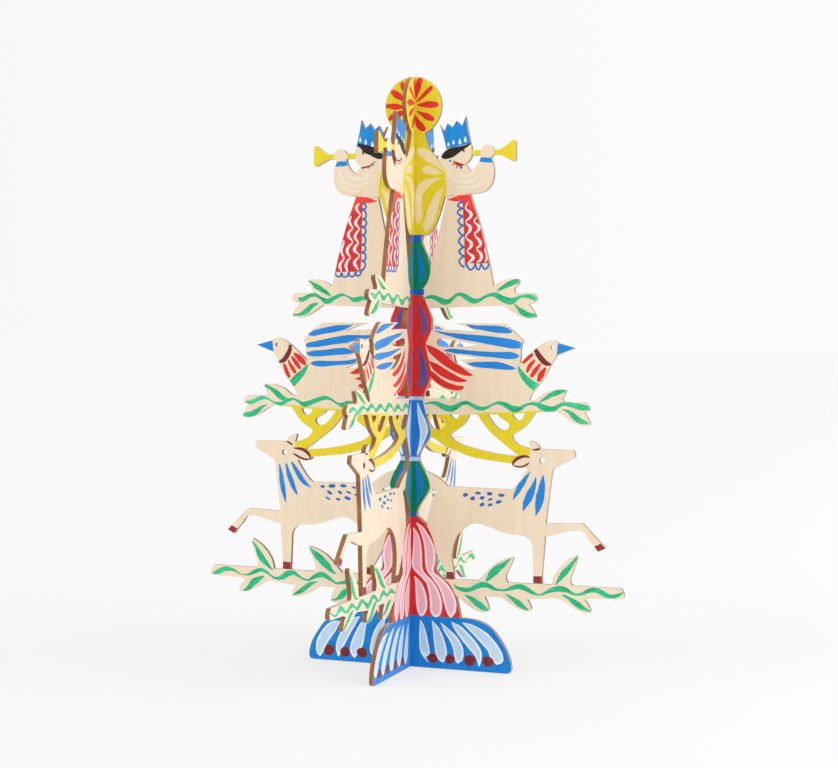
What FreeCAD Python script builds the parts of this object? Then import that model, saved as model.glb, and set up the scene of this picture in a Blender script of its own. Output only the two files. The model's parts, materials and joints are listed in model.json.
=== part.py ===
"""Flat-pack tree of life: two laser-cut plywood panels that cross at right angles.

Both panels have the same outline.  One is slotted down from its top edge, the other up
from its bottom edge, and the second drops onto the first.  Everything is in millimetres.
Outlines are drawn on one half of a panel as (r, z): r is the distance from the tree's
axis and z is the height above the table.  The other half is its mirror image.
"""
import FreeCAD, Part
import os

# Driving dimensions
SHEET = 3.0                 # plywood thickness
HEIGHT = 400.0              # bottom edge to the top of the sun
SLOT_FIT = 0.15             # free play on each side of a sheet in its slot
SLOT_END_GAP = 0.2          # each slot ends this far past half height
SUN_RADIUS = 20.0
FOOT_RADIUS = 70.0          # flat on the table from the axis to here
FOOT_TOP = 35.5
SKIRT_TOP = 103.0
GREEN_VASE_TOP = 140.5
BLUE_VASE_TOP = 183.0
RED_VASE_TOP = 251.5
BULB_TOP = 293.0
HAND = (52.5, 348.2)
HAND_RADIUS = 4.6
TRUMPET_LOW = 346.0         # underside and top of the trumpet's tube
TRUMPET_HIGH = 349.4
BIRD_EYE = (98.7, 218.3)
BIRD_EYE_RADIUS = 1.4
DEER_EYE = (92.7, 143.3)
DEER_EYE_RADIUS = 2.0

HALF_HEIGHT = HEIGHT / 2
SUN_CENTRE = HEIGHT - SUN_RADIUS
LAP = 0.5                   # stacked pieces of the column overlap by this much
CLOSE = 1e-6                # ends nearer than this count as touching


def at(point):
    """A panel point (r, z) as a vector in the panel's plane."""
    return FreeCAD.Vector(point[0], 0, point[1])


def straight(*points):
    """Straight edges from point to point."""
    return [Part.LineSegment(at(a), at(b)).toShape() for a, b in zip(points, points[1:])]


def smooth(*points):
    """One smooth curve through the points."""
    curve = Part.BSplineCurve()
    curve.interpolate([at(p) for p in points])
    return [curve.toShape()]


def start_of(stretch):
    return stretch[0].valueAt(stretch[0].FirstParameter)


def end_of(stretch):
    return stretch[-1].valueAt(stretch[-1].LastParameter)


def plate(wire):
    """A piece of the sheet with this outline, half its thickness each side of the panel's plane."""
    solid = Part.Face(wire).extrude(FreeCAD.Vector(0, SHEET, 0))
    solid.translate(FreeCAD.Vector(0, -SHEET / 2, 0))
    return solid


def patch(*stretches):
    """A plate bounded by stretches laid end to end; straight edges close the gaps."""
    edges = []
    for stretch, following in zip(stretches, stretches[1:] + stretches[:1]):
        edges += stretch
        here = end_of(stretch)
        there = start_of(following)
        if here.distanceToPoint(there) > CLOSE:
            edges.append(Part.LineSegment(here, there).toShape())
    return plate(Part.Wire(edges))


def disc(centre, radius):
    return plate(Part.Wire(Part.makeCircle(radius, at(centre), FreeCAD.Vector(0, -1, 0))))


def joined(plates):
    """One plate from several that overlap."""
    return plates[0].fuse(plates[1:]).removeSplitter()


# The column, from the table up.  Each piece is closed along the axis.

def foot():
    return patch(
        straight((0, 0), (FOOT_RADIUS, 0)),
        smooth((FOOT_RADIUS, 0), (72.3, 1.2), (73, 4)),
        smooth((73, 4), (70.8, 13), (66.3, 20.8), (60.7, 28), (53.6, 33), (45.2, 35.2), (37.5, FOOT_TOP)),
        straight((37.5, FOOT_TOP), (0, FOOT_TOP)))


def skirt():
    return patch(
        smooth((37.5, FOOT_TOP - LAP), (36.2, 41), (33.8, 50), (28.7, 58.3), (23, 62.5), (19.4, 67)),
        smooth((19.4, 67), (19.3, 77), (17.1, 87.2), (12.7, 96.5), (5.5, SKIRT_TOP)),
        straight((0, SKIRT_TOP), (0, FOOT_TOP - LAP)))


def green_vase():
    return patch(
        smooth((5.4, SKIRT_TOP - LAP), (7.5, 110.5), (13.0, 119), (14.2, 123), (13.1, 128),
               (10.2, 134.5), (7, GREEN_VASE_TOP)),
        straight((0, GREEN_VASE_TOP), (0, SKIRT_TOP - LAP)))


def blue_vase():
    return patch(
        smooth((7, GREEN_VASE_TOP - LAP), (8.4, 148), (11.4, 152.5), (14.1, 157.4), (14.4, 160.6),
               (13.2, 165.5), (10.6, 173.5), (8.6, BLUE_VASE_TOP)),
        straight((0, BLUE_VASE_TOP), (0, GREEN_VASE_TOP - LAP)))


def red_double_vase():
    return patch(
        smooth((8.8, BLUE_VASE_TOP - LAP), (10.4, 187.5), (12.6, 192.3), (13.9, 198), (13.8, 203.5),
               (12.2, 210.5), (10.4, 218.4)),
        smooth((10.4, 218.4), (11.6, 222.6), (13.6, 227.4), (14.9, 232.8), (14.7, 237), (13.2, 241),
               (9, RED_VASE_TOP)),
        straight((0, RED_VASE_TOP), (0, BLUE_VASE_TOP - LAP)))


def green_bulb():
    return patch(
        straight((7.2, RED_VASE_TOP - LAP), (7.2, 256.3)),
        smooth((7.2, 256.3), (10.9, 260.9), (12.7, 266), (13.1, 271), (12.2, 276.6), (10, 282), (7.2, 288)),
        straight((6.8, BULB_TOP), (0, BULB_TOP), (0, RED_VASE_TOP - LAP)))


def urn():
    return patch(
        smooth((6.8, BULB_TOP - LAP), (12.8, 294.7), (15.6, 298), (17.8, 302.5), (21.6, 314), (23.7, 322)),
        smooth((23.7, 322), (23.9, 330), (22.2, 336.9), (18.4, 343), (12.6, 350), (10, 355.5), (8.5, 361)),
        straight((8.5, 368), (0, 368), (0, BULB_TOP - LAP)))


def sun():
    """The full disc on top, which both halves share."""
    return disc((0, SUN_CENTRE), SUN_RADIUS)


# The shapes that branch from the column, from the table up.

def low_branch():
    return patch(
        straight((18, 61), (49.1, 61.6)),
        smooth((49.1, 61.6), (54, 66.8), (61, 73.4), (67, 76.6), (73.6, 78.4)),
        smooth((73.6, 78.4), (72.4, 74), (70.4, 70), (68.8, 66.4), (68.7, 63.4), (70, 61.3)),
        straight((70, 61.3), (100.2, 61.4)),
        smooth((100.2, 61.4), (101.4, 67), (104.2, 72), (107.6, 76), (112, 79.5), (116.4, 81.8)),
        straight((116.4, 81.8), (117.2, 80.6)),
        smooth((117.2, 80.6), (116, 75.6), (113.8, 69.6), (112.6, 65), (112.9, 63), (114.6, 61.6)),
        straight((114.6, 61.6), (146.2, 61.7), (147.4, 60.3)),
        smooth((147.4, 60.3), (148.6, 57.6), (148.2, 55.4), (146.6, 54.5)),
        straight((146.6, 54.5), (125.9, 54), (122.3, 52.6)),
        smooth((122.3, 52.6), (124.9, 49.4), (126.5, 45.8)),
        straight((126.5, 45.8), (126, 44.3)),
        smooth((126, 44.3), (121.4, 44.3), (115.6, 46.6), (107.6, 51.2), (102.3, 52.8)),
        straight((102.3, 52.8), (83.2, 50.7)),
        smooth((83.2, 50.7), (85.2, 47.8), (86.3, 44.9)),
        straight((86.3, 44.9), (85.6, 43.4)),
        smooth((85.6, 43.4), (81, 42.9), (76, 44.6), (70.4, 47.8), (65.3, 51.2)),
        straight((65.3, 51.2), (53.8, 50.8)),
        smooth((53.8, 50.8), (55.6, 47.4), (57.1, 42.8)),
        straight((57.1, 42.8), (56.5, 41.2)),
        smooth((56.5, 41.2), (52.6, 40.2), (48.6, 41), (41, 45.2), (35, 49.6)),
        straight((35, 49.6), (18, 49.6)))


def deer():
    return patch(
        straight((9, 133.8), (12.3, 133.5)),
        smooth((12.3, 133.5), (19.6, 130), (27.2, 124)),
        straight((27.2, 124), (71.3, 123.4)),
        smooth((71.3, 123.4), (75, 126.6), (79, 132), (82.6, 138)),
        smooth((82.6, 138), (77.4, 138), (72.8, 138.8), (71.8, 140.6), (73.8, 143.8), (77.4, 145.8),
               (83.6, 145.5)),
        smooth((83.6, 145.5), (84.8, 150.9), (83.8, 156.3), (87.2, 155.5), (90.8, 151.1)),
        straight((90.8, 151.1), (113.6, 151)),
        smooth((113.6, 151), (114.6, 149), (114.9, 146)),
        straight((114.9, 146), (101.8, 139)),
        smooth((101.8, 139), (100, 137.6), (99.4, 135.4)),
        smooth((99.4, 135.4), (98.4, 127), (97, 116), (95.5, 101.9)),
        straight((95.5, 101.9), (118.6, 103.1)),
        smooth((118.6, 103.1), (120.4, 102.8), (121.6, 101.9)),
        straight((121.6, 101.9), (132.9, 90.4), (135.5, 87.9), (135.4, 86.9), (130.8, 84.8), (126.2, 90.7)),
        smooth((126.2, 90.7), (122.6, 95.6), (121, 97.3), (118.6, 98), (108, 96.6), (95.2, 93.6)),
        straight((95.2, 93.6), (93.3, 67), (93.6, 58)),
        straight((87.6, 58), (87.2, 67), (86.5, 86.5)),
        smooth((86.5, 86.5), (83.5, 91.4), (71, 93.8), (54, 98.6), (46, 99.6), (39.4, 96.4), (34, 91)),
        smooth((34, 91), (30.8, 81), (32.2, 66.3)),
        straight((32.2, 66.3), (32.4, 58)),
        straight((26.6, 58), (26.6, 66)),
        smooth((26.6, 66), (22.6, 72.6), (17.4, 82)),
        straight((9, 88), (9, 96.5)),
        smooth((12.7, 96.5), (12.8, 101), (14.2, 107), (17, 116), (19.7, 120.4)),
        straight((14, 123), (9, 123)))


def antler_fork():
    """The antler's inner beam, which forks up to the bird's branch beside the column."""
    fork = patch(
        smooth((11.5, 158), (19.9, 154.2), (25, 151), (32, 148.4), (39.1, 145.6), (49.7, 143.2),
               (61, 141.8), (74, 140.4)),
        smooth((78, 145.8), (62, 147), (49.6, 149.2), (39, 151.8), (32, 154.6), (28.4, 158.2)),
        smooth((28.4, 158.2), (32.6, 161.8), (37.5, 165.4), (40.3, 169), (42, 174)),
        straight((42, 174), (9, 174), (9, 158)))
    column_gap = patch(
        straight((19, 176), (19, 171.2)),
        smooth((19, 171.2), (22.6, 168.4), (24.8, 165.8), (23.2, 163.2), (19.8, 162), (16.6, 162.8),
               (13.8, 166)),
        straight((10, 170), (10, 176)))
    notch = patch(
        straight((28.6, 176), (28.6, 172)),
        smooth((28.6, 172), (32.4, 169.4), (34.8, 172.6)),
        straight((34.8, 172.6), (34.8, 176)))
    return fork.cut([column_gap, notch])


def antler_outer():
    antler = patch(
        smooth((80, 144), (76, 146.4), (70.4, 150.4), (63.4, 155.7), (56.4, 161.5), (50.6, 168.4),
               (46.6, 174)),
        straight((46.6, 174), (88.2, 176)),
        smooth((88.2, 176), (83.9, 169.6), (80.4, 165.4), (76.4, 162.4), (71.6, 159.6)),
        smooth((71.6, 159.6), (73.8, 155.4), (79.4, 152.4), (87, 150.4)),
        straight((87, 150.4), (88, 144)))
    long_hole = patch(
        straight((54.6, 178), (54.6, 172.8)),
        smooth((54.6, 172.8), (57.8, 168.4), (62.2, 164), (65.6, 162.9), (69, 164.2), (69.6, 166.4),
               (67, 169), (61.8, 173.4)),
        straight((61.8, 173.4), (61.8, 178)))
    short_hole = patch(
        straight((72, 178), (72, 173)),
        smooth((72, 173), (73.6, 170.8), (76.6, 169.6), (79, 171.4), (79.8, 174)),
        straight((79.8, 174), (79.8, 178)))
    return antler.cut([long_hole, short_hole])


def middle_branch():
    return patch(
        straight((4, 183), (83.4, 183)),
        smooth((83.4, 183), (88, 184), (92.8, 187.6), (98, 189.8), (104, 190.9), (108.4, 190.3)),
        smooth((108.4, 190.3), (107.6, 188), (106.3, 185.6), (106.2, 183.8), (107.4, 182.6)),
        straight((107.4, 182.6), (121, 182.6)),
        smooth((121, 182.6), (122.8, 180.8), (124.1, 178.4), (123.2, 176.8), (120.4, 176.2)),
        smooth((120.4, 176.2), (122.8, 172.8), (124.8, 168.8)),
        straight((124.8, 168.8), (124.2, 167.4)),
        smooth((124.2, 167.4), (120, 167), (114.4, 168.6), (107.6, 172.6), (101.6, 176)),
        straight((101.6, 176), (88, 175), (60, 173), (4, 172)))


def bird():
    """Bird, wing and tail; the slits between the feathers are open."""
    whole = patch(
        straight((6, 229.8), (14, 229.6)),
        smooth((14, 229.6), (30, 229.4), (46.6, 228.2)),
        smooth((46.6, 228.2), (40.6, 231), (31.6, 233.8)),
        straight((31.6, 233.8), (64, 233.8)),
        smooth((64, 233.8), (67.8, 232.2), (73.4, 227.8), (78.8, 222.4)),
        smooth((78.8, 222.4), (77.4, 218.4), (77.1, 212), (76.2, 207)),
        smooth((76.2, 207), (79, 210), (85.4, 215.8), (89, 218.8), (93.6, 221.6), (98, 223),
               (102.6, 221.3)),
        straight((102.6, 221.3), (114.3, 218), (101.8, 213.2)),
        smooth((101.8, 213.2), (98.1, 207.2), (95, 201.4), (91.4, 195.4), (86.4, 189.4), (83.2, 180)),
        straight((83.2, 180), (35.6, 180), (34.6, 187)),
        smooth((34.6, 187), (29, 187.8), (24, 189.5), (18.6, 193), (13.2, 198.5)),
        straight((6, 198.5), (6, 229.8)))
    upper_slit = patch(
        smooth((47, 219.5), (38.2, 221), (28, 222.8), (22, 223.6), (18.8, 222.4), (18.8, 219.6),
               (22, 218), (28, 217.8), (38, 218.2), (47, 219.3)))
    lower_slit = patch(
        smooth((49, 210.1), (40, 211.6), (32, 212.6), (24.8, 214.2)),
        smooth((24.8, 214.2), (27.2, 210.8), (32, 207), (38, 204), (46.6, 202.8)),
        smooth((46.6, 202.8), (41.8, 205), (35, 209.4)),
        smooth((35, 209.4), (42, 209.8), (49, 209.9)))
    return whole.cut([upper_slit, lower_slit])


def high_branch():
    return patch(
        straight((4, 256), (58.4, 259)),
        smooth((58.4, 259), (62.4, 261.7), (68, 263.4), (74.2, 263.6)),
        smooth((74.2, 263.6), (75.6, 262.4), (75, 260), (73, 257.8), (72.3, 255.8), (73, 254.2)),
        straight((73, 254.2), (85, 254.2)),
        smooth((85, 254.2), (86.8, 252.6), (87.7, 250.2), (86.6, 248.6), (81.8, 247)),
        smooth((81.8, 247), (84.6, 243.8), (87.2, 239.8)),
        smooth((87.2, 239.8), (87, 238.2), (85, 237.3), (79.4, 237.5), (72, 240.8), (64.5, 245.8)),
        straight((64.5, 245.8), (45, 245.2), (4, 243.4)))


def trumpeter_gown():
    return patch(
        smooth((24.6, 319), (22.8, 311.2), (20.5, 300), (17.9, 289.8), (15.1, 279), (12.2, 267)),
        straight((6, 262), (6, 250), (58, 250)),
        smooth((57.6, 259.6), (55, 272.8), (51.6, 286.6), (47.6, 301), (44, 311.4), (40.8, 320)))


def trumpeter_torso():
    """Shoulders, and the arm bent up to the trumpet."""
    return patch(
        straight((20, 319), (17, 342.5), (21, 344.8), (28, 345), (37.6, 340), (41.6, 335.2)),
        smooth((41.6, 335.2), (44.8, 338.6), (47.2, 342.4), (48, 347)),
        straight((48, 347), (55.2, 347)),
        smooth((55.2, 344), (56.9, 339), (57.4, 332.6), (56.4, 327.8), (54, 324), (50.4, 321.6),
               (44.2, 320.4), (40, 320)))


def trumpeter_head():
    return patch(
        smooth((23.4, 352), (21.8, 348.4), (20.4, 345), (22.9, 344.2), (27, 343.6)),
        straight((27, 343.6), (27, 340), (36, 340)),
        smooth((37.4, 340.7), (40.4, 343), (41.8, 346), (41.9, 349.6), (40.9, 354.4)))


def crown():
    return patch(
        straight((23.6, 351), (21.4, 360.1), (18.8, 367), (22.2, 362.6), (24.5, 367.8), (28, 365),
                 (30.8, 369.5), (34.7, 366), (37.4, 372), (38.9, 363), (40.9, 354)))


def trumpet():
    tube = patch(straight((41, TRUMPET_LOW), (59, TRUMPET_LOW), (59, TRUMPET_HIGH), (41, TRUMPET_HIGH)))
    bell = patch(
        smooth((57, TRUMPET_HIGH), (61.4, 349.6), (66.1, 352.4), (69.5, 355.2)),
        straight((69.5, 355.2), (71.6, 355.2), (72.3, 353.8), (72.3, 342.8), (71.6, 341.4), (69.5, 341.4)),
        smooth((69.5, 341.4), (65.5, 343.7), (61.4, 345.6), (57, TRUMPET_LOW)))
    return tube.fuse(bell)


def whole_panel():
    """The panel before its slot is cut: one half, joined to its mirror image."""
    half = joined([
        foot(), skirt(), green_vase(), blue_vase(), red_double_vase(), green_bulb(), urn(),
        low_branch(), deer(), antler_fork(), antler_outer(), middle_branch(), bird(), high_branch(),
        trumpeter_gown(), trumpeter_torso(), trumpeter_head(), crown(), trumpet(), disc(HAND, HAND_RADIUS)])
    half = half.cut([disc(BIRD_EYE, BIRD_EYE_RADIUS), disc(DEER_EYE, DEER_EYE_RADIUS)])
    other_half = half.mirror(FreeCAD.Vector(0, 0, 0), FreeCAD.Vector(1, 0, 0))
    return joined([half, other_half, sun()])


def slotted(panel, slot_low, slot_high):
    """The panel with a slot on the axis between two heights."""
    slot_width = SHEET + 2 * SLOT_FIT
    slot = Part.makeBox(slot_width, 2 * SHEET, slot_high - slot_low,
                        FreeCAD.Vector(-slot_width / 2, -SHEET, slot_low))
    return panel.cut(slot)


def main():
    os.makedirs("parts", exist_ok=True)
    panel = whole_panel()
    top_slotted = slotted(panel, HALF_HEIGHT - SLOT_END_GAP, HEIGHT + SHEET)
    bottom_slotted = slotted(panel, -SHEET, HALF_HEIGHT + SLOT_END_GAP)
    bottom_slotted.rotate(FreeCAD.Vector(0, 0, 0), FreeCAD.Vector(0, 0, 1), 90)
    nodes = {"top_slotted_panel": top_slotted, "bottom_slotted_panel": bottom_slotted}
    for name, shape in nodes.items():
        solid = shape.Solids[0]
        print(name, "solids", len(shape.Solids), "valid", solid.isValid(),
              "volume cm3", round(solid.Volume / 1000, 2), solid.BoundBox)
        solid.exportStep("parts/" + name + ".step")


main()
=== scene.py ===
"""Looks of the flat-pack tree of life: laser-cut plywood panels with a hand-painted design.

Drawings are in millimetres on half a panel face: r runs out from the tree's axis, z up from
the table.  The design is drawn in three versions, here called hands 0, 1 and 2, and HANDS says
which of them each half face has.  Every half face is painted afresh with its own small wobbles,
so no two are equal.
"""
import bpy
import json
import math
import random
import numpy as np
from mathutils import Matrix, Vector
from mathutils.geometry import delaunay_2d_cdt

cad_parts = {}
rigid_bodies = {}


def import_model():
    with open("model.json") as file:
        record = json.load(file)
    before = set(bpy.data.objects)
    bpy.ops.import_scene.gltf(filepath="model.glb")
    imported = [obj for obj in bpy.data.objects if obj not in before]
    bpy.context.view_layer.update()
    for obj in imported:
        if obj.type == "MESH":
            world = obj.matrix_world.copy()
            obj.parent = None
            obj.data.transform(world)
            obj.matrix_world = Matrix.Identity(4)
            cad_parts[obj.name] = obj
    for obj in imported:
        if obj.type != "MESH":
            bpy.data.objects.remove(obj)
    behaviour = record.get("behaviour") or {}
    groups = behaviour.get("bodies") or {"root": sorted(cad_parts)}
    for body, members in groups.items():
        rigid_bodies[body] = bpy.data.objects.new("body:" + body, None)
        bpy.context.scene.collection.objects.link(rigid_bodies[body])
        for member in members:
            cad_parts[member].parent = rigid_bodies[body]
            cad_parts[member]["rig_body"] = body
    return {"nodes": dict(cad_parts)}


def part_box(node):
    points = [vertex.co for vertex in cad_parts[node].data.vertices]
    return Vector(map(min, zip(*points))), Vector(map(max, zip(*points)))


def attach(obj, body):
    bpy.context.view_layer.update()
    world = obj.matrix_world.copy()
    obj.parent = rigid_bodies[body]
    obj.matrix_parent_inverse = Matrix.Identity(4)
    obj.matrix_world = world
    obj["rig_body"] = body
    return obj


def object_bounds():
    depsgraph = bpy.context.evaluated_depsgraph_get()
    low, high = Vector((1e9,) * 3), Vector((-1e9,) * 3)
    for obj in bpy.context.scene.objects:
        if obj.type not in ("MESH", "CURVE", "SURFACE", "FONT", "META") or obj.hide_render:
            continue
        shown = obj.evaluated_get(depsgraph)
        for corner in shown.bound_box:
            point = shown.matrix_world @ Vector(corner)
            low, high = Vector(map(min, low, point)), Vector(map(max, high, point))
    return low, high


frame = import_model()
cad_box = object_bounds()
chance = random.Random(11)

MM = 0.001
SUNK = -0.05                                 # a paint film starts this far inside the wood
LEVELS = (0.03, 0.05, 0.07, 0.09)            # how far the film of each coat stands off the wood
COLOUR_STEP = 0.0008                         # and how much each colour differs from the one before
RIM = 0.2                                    # bare burnt wood left between paint and cut edge
SLOT_RIM = 0.02                              # and between paint and the slot's sides
SLOT_REACH = 3.0                             # how near the axis the slot's sides are
STROKE_STEP = 0.8                            # spacing of the points along a stroke
AREA_STEP = 0.7                              # and round a flat area
WAVE_PARTS = ((17, 0.5), (7.3, 0.3), (3.1, 0.2))     # wavelength and share of each part of a ripple
MAP_UNIT = 10                                # one unit of the brush map is a centimetre
TINY = 1e-9


# ---------------------------------------------------------------- curves

def smooth(points, per_span=6):
    """A smooth open curve through the points, which may carry a width as a third number."""
    p = np.array(points, float)
    if len(p) < 3:
        share = np.linspace(0, 1, per_span + 1)[:, None]
        return p[0] + (p[1] - p[0]) * share
    p = np.vstack([2 * p[0] - p[1], p, 2 * p[-1] - p[-2]])
    t = np.arange(per_span)[:, None] / per_span
    spans = []
    for a, b, c, d in zip(p, p[1:], p[2:], p[3:]):
        spans.append(b + t * (c - a) / 2 + t ** 2 * (a - 2.5 * b + 2 * c - d / 2)
                     + t ** 3 * (1.5 * b - 1.5 * c + d / 2 - a / 2))
    return np.vstack(spans + [p[-2:-1]])


def lengths(line):
    """How far along the curve each of its points is."""
    steps = np.linalg.norm(np.diff(line[:, :2], axis=0), axis=1)
    return np.concatenate([[0], np.cumsum(steps)])


def evenly(line, count):
    """The curve again, as this many points evenly spaced along it."""
    along = lengths(line)
    want = np.linspace(0, along[-1], count)
    return np.stack([np.interp(want, along, column) for column in line.T], axis=1)


def point_count(line, spacing, fewest=12):
    """How many points a curve needs at this spacing."""
    return max(fewest, int(lengths(line)[-1] / spacing))


def unit(steps):
    return steps / np.maximum(np.linalg.norm(steps, axis=1), TINY)[:, None]


def sideways(line):
    """The unit normal to the left of each point of a curve."""
    step = unit(np.gradient(line[:, :2], axis=0))
    return np.stack([-step[:, 1], step[:, 0]], axis=1)


def ripple(along, size):
    """A small smooth random wave along a length in millimetres."""
    wave = 0
    for length, share in WAVE_PARTS:
        wave = wave + share * np.sin(along / length * 2 * math.pi + chance.uniform(0, 2 * math.pi))
    return size * wave


def area_of(loop):
    """The area inside a closed outline, above zero if it runs anticlockwise."""
    x, y = loop[:, 0], loop[:, 1]
    return 0.5 * float(np.sum(x * np.roll(y, -1) - np.roll(x, -1) * y))


def anticlockwise(loop):
    return loop if area_of(loop) > 0 else loop[::-1]


def outward(loop):
    """The unit normal out of an anticlockwise outline at each of its points."""
    step = unit(np.roll(loop, -1, axis=0) - np.roll(loop, 1, axis=0))
    return np.stack([step[:, 1], -step[:, 0]], axis=1)


# ---------------------------------------------------------------- shapes of paint

WOBBLE = 0.1                                 # how far a stroke wanders from its drawing
SWELL = 0.12                                 # and how much its width varies, as a share
AREA_WOBBLE = 0.12                           # how far a flat area's outline wanders
RIM_WOBBLE = 0.08                            # and the fine rim of a petal
FINEST = 0.02                                # half the width of the finest pointed end
NARROW = 0.15                                # a stroke with a smaller half width has no full dark edge
CAP_POINTS = 5                               # points on a stroke's round end
PETAL_WANDER = 0.6                           # share of the wobble at a petal's sides, less near its ends
TIP_SHARE, TIP_GROWTH = 0.35, 2.2            # how fine a rim starts at the tip, and how fast it grows
SPOT_POINTS = 22


class Shape:
    """A closed outline filled by brush strokes along a spine; a flat area has no spine."""

    def __init__(self, outline, spine=None, half=None):
        self.outline = outline
        self.spine = spine
        self.half = half
        self.tone = chance.random()
        self.dry = chance.random()

    def on_side(self, side):
        """The same shape on the right (1) or left (-1) half of the panel."""
        flip = np.array([side, 1.0])
        self.outline = self.outline * flip
        if self.spine is not None:
            self.spine = self.spine * flip
        return self

    def brush(self, points):
        """For each point: length along, distance across, 0 inside to 1 at the edge, share of length."""
        if self.spine is None:
            none = np.zeros(len(points))
            return np.stack([points[:, 1], points[:, 0], none, none], axis=1)
        gap = points[:, None, :] - self.spine[None]
        nearest = np.argmin((gap ** 2).sum(axis=2), axis=1)
        offset = gap[np.arange(len(points)), nearest]
        across = (offset * sideways(self.spine)[nearest]).sum(axis=1)
        edge = np.clip(np.linalg.norm(offset, axis=1) / np.maximum(self.half[nearest], NARROW), 0, 1)
        along = lengths(self.spine)
        return np.stack([along[nearest], across, edge, along[nearest] / along[-1]], axis=1)


def stroke(points, widths, wobble=WOBBLE):
    """One brush stroke along points; widths are full widths, and 0 is a pointed end."""
    line = smooth([(r, z, w) for (r, z), w in zip(points, widths)])
    line = evenly(line, point_count(line, STROKE_STEP))
    half = np.maximum(line[:, 2] / 2, FINEST)
    along = lengths(line)
    normal = sideways(line)
    spine = line[:, :2] + normal * ripple(along, wobble)[:, None]
    left = spine + normal * (half * (1 + ripple(along, SWELL)))[:, None]
    right = spine - normal * (half * (1 + ripple(along, SWELL)))[:, None]
    turns = np.linspace(0, math.pi, CAP_POINTS + 2)[1:-1, None]

    def cap(centre, side_vector, radius, ahead):
        return centre + radius * (np.cos(turns) * side_vector + np.sin(turns) * ahead)

    forward = np.stack([normal[:, 1], -normal[:, 0]], axis=1)
    end = cap(spine[-1], -normal[-1], half[-1], forward[-1])
    start = cap(spine[0], normal[0], half[0], -forward[0])
    return Shape(np.vstack([right, end, left[::-1], start]), spine, half)


def sides_of(left, right):
    """Both sides of a petal in full: the right one is drawn without the two ends that they share."""
    return left, (left[0], *right, left[-1])


def petal(left, right, wobble=WOBBLE):
    """A stroke given by its two sides, which meet at both ends."""
    left, right = (smooth(side) for side in sides_of(left, right))
    count = point_count(left, STROKE_STEP)
    left, right = evenly(left, count), evenly(right, count)
    spine = (left + right) / 2
    half = np.linalg.norm(left - right, axis=1) / 2
    grow = np.minimum(half, PETAL_WANDER)[:, None]
    left = left + sideways(left) * ripple(lengths(left), wobble)[:, None] * grow
    right = right + sideways(right) * ripple(lengths(right), wobble)[:, None] * grow
    return Shape(np.vstack([left, right[::-1][1:-1]]), spine, np.maximum(half, 0.1))


def add_rimmed_petal(add, colour, left, right, rim_colour, width):
    """A petal with a fine stroke down each side, from its tip round to its foot."""
    add(colour, 1, petal(left, right))
    for side in sides_of(left, right):
        count = len(side)
        widths = [width * min(1, TIP_SHARE + TIP_GROWTH * i / count) for i in range(count)]
        add(rim_colour, 2, stroke(side, widths, wobble=RIM_WOBBLE))


def area(*stretches, wobble=AREA_WOBBLE):
    """A flat painted area; each stretch is a smooth line and they join end to end."""
    outline = np.vstack([smooth(s) if len(s) > 2 else np.array(s, float) for s in stretches])
    closed = np.vstack([outline, outline[:1]])
    fine = evenly(closed, point_count(closed, AREA_STEP, fewest=16))[:-1]
    return Shape(fine + sideways(fine) * ripple(lengths(fine), wobble)[:, None])


def corners(*points, wobble=WOBBLE):
    """A flat painted area with straight sides."""
    return area(*[(a, b) for a, b in zip(points, points[1:] + points[:1])], wobble=wobble)


def spot(centre, length, width, tilt=0.0):
    """A dab of the brush: an ellipse, with its long axis tilted up by some degrees."""
    turn = np.linspace(0, 2 * math.pi, SPOT_POINTS, endpoint=False)
    oval = 0.05 * np.sin(2 * turn + chance.uniform(0, 6))
    lump = 0.03 * np.sin(3 * turn + chance.uniform(0, 6))
    swell = 1 + oval + lump
    x, y = length / 2 * np.cos(turn) * swell, width / 2 * np.sin(turn) * swell
    cosine, sine = math.cos(math.radians(tilt)), math.sin(math.radians(tilt))
    middle = np.array(centre, float)
    ring = np.stack([x * cosine - y * sine, x * sine + y * cosine], axis=1) + middle
    reach = max(length - width, 0.2) / 2
    line = np.array([[-reach, 0], [0, 0], [reach, 0]]) @ np.array([[cosine, sine], [0, 0]])
    return Shape(ring, line + middle, np.full(3, width / 2))


# ---------------------------------------------------------------- the painting on half a face

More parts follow.
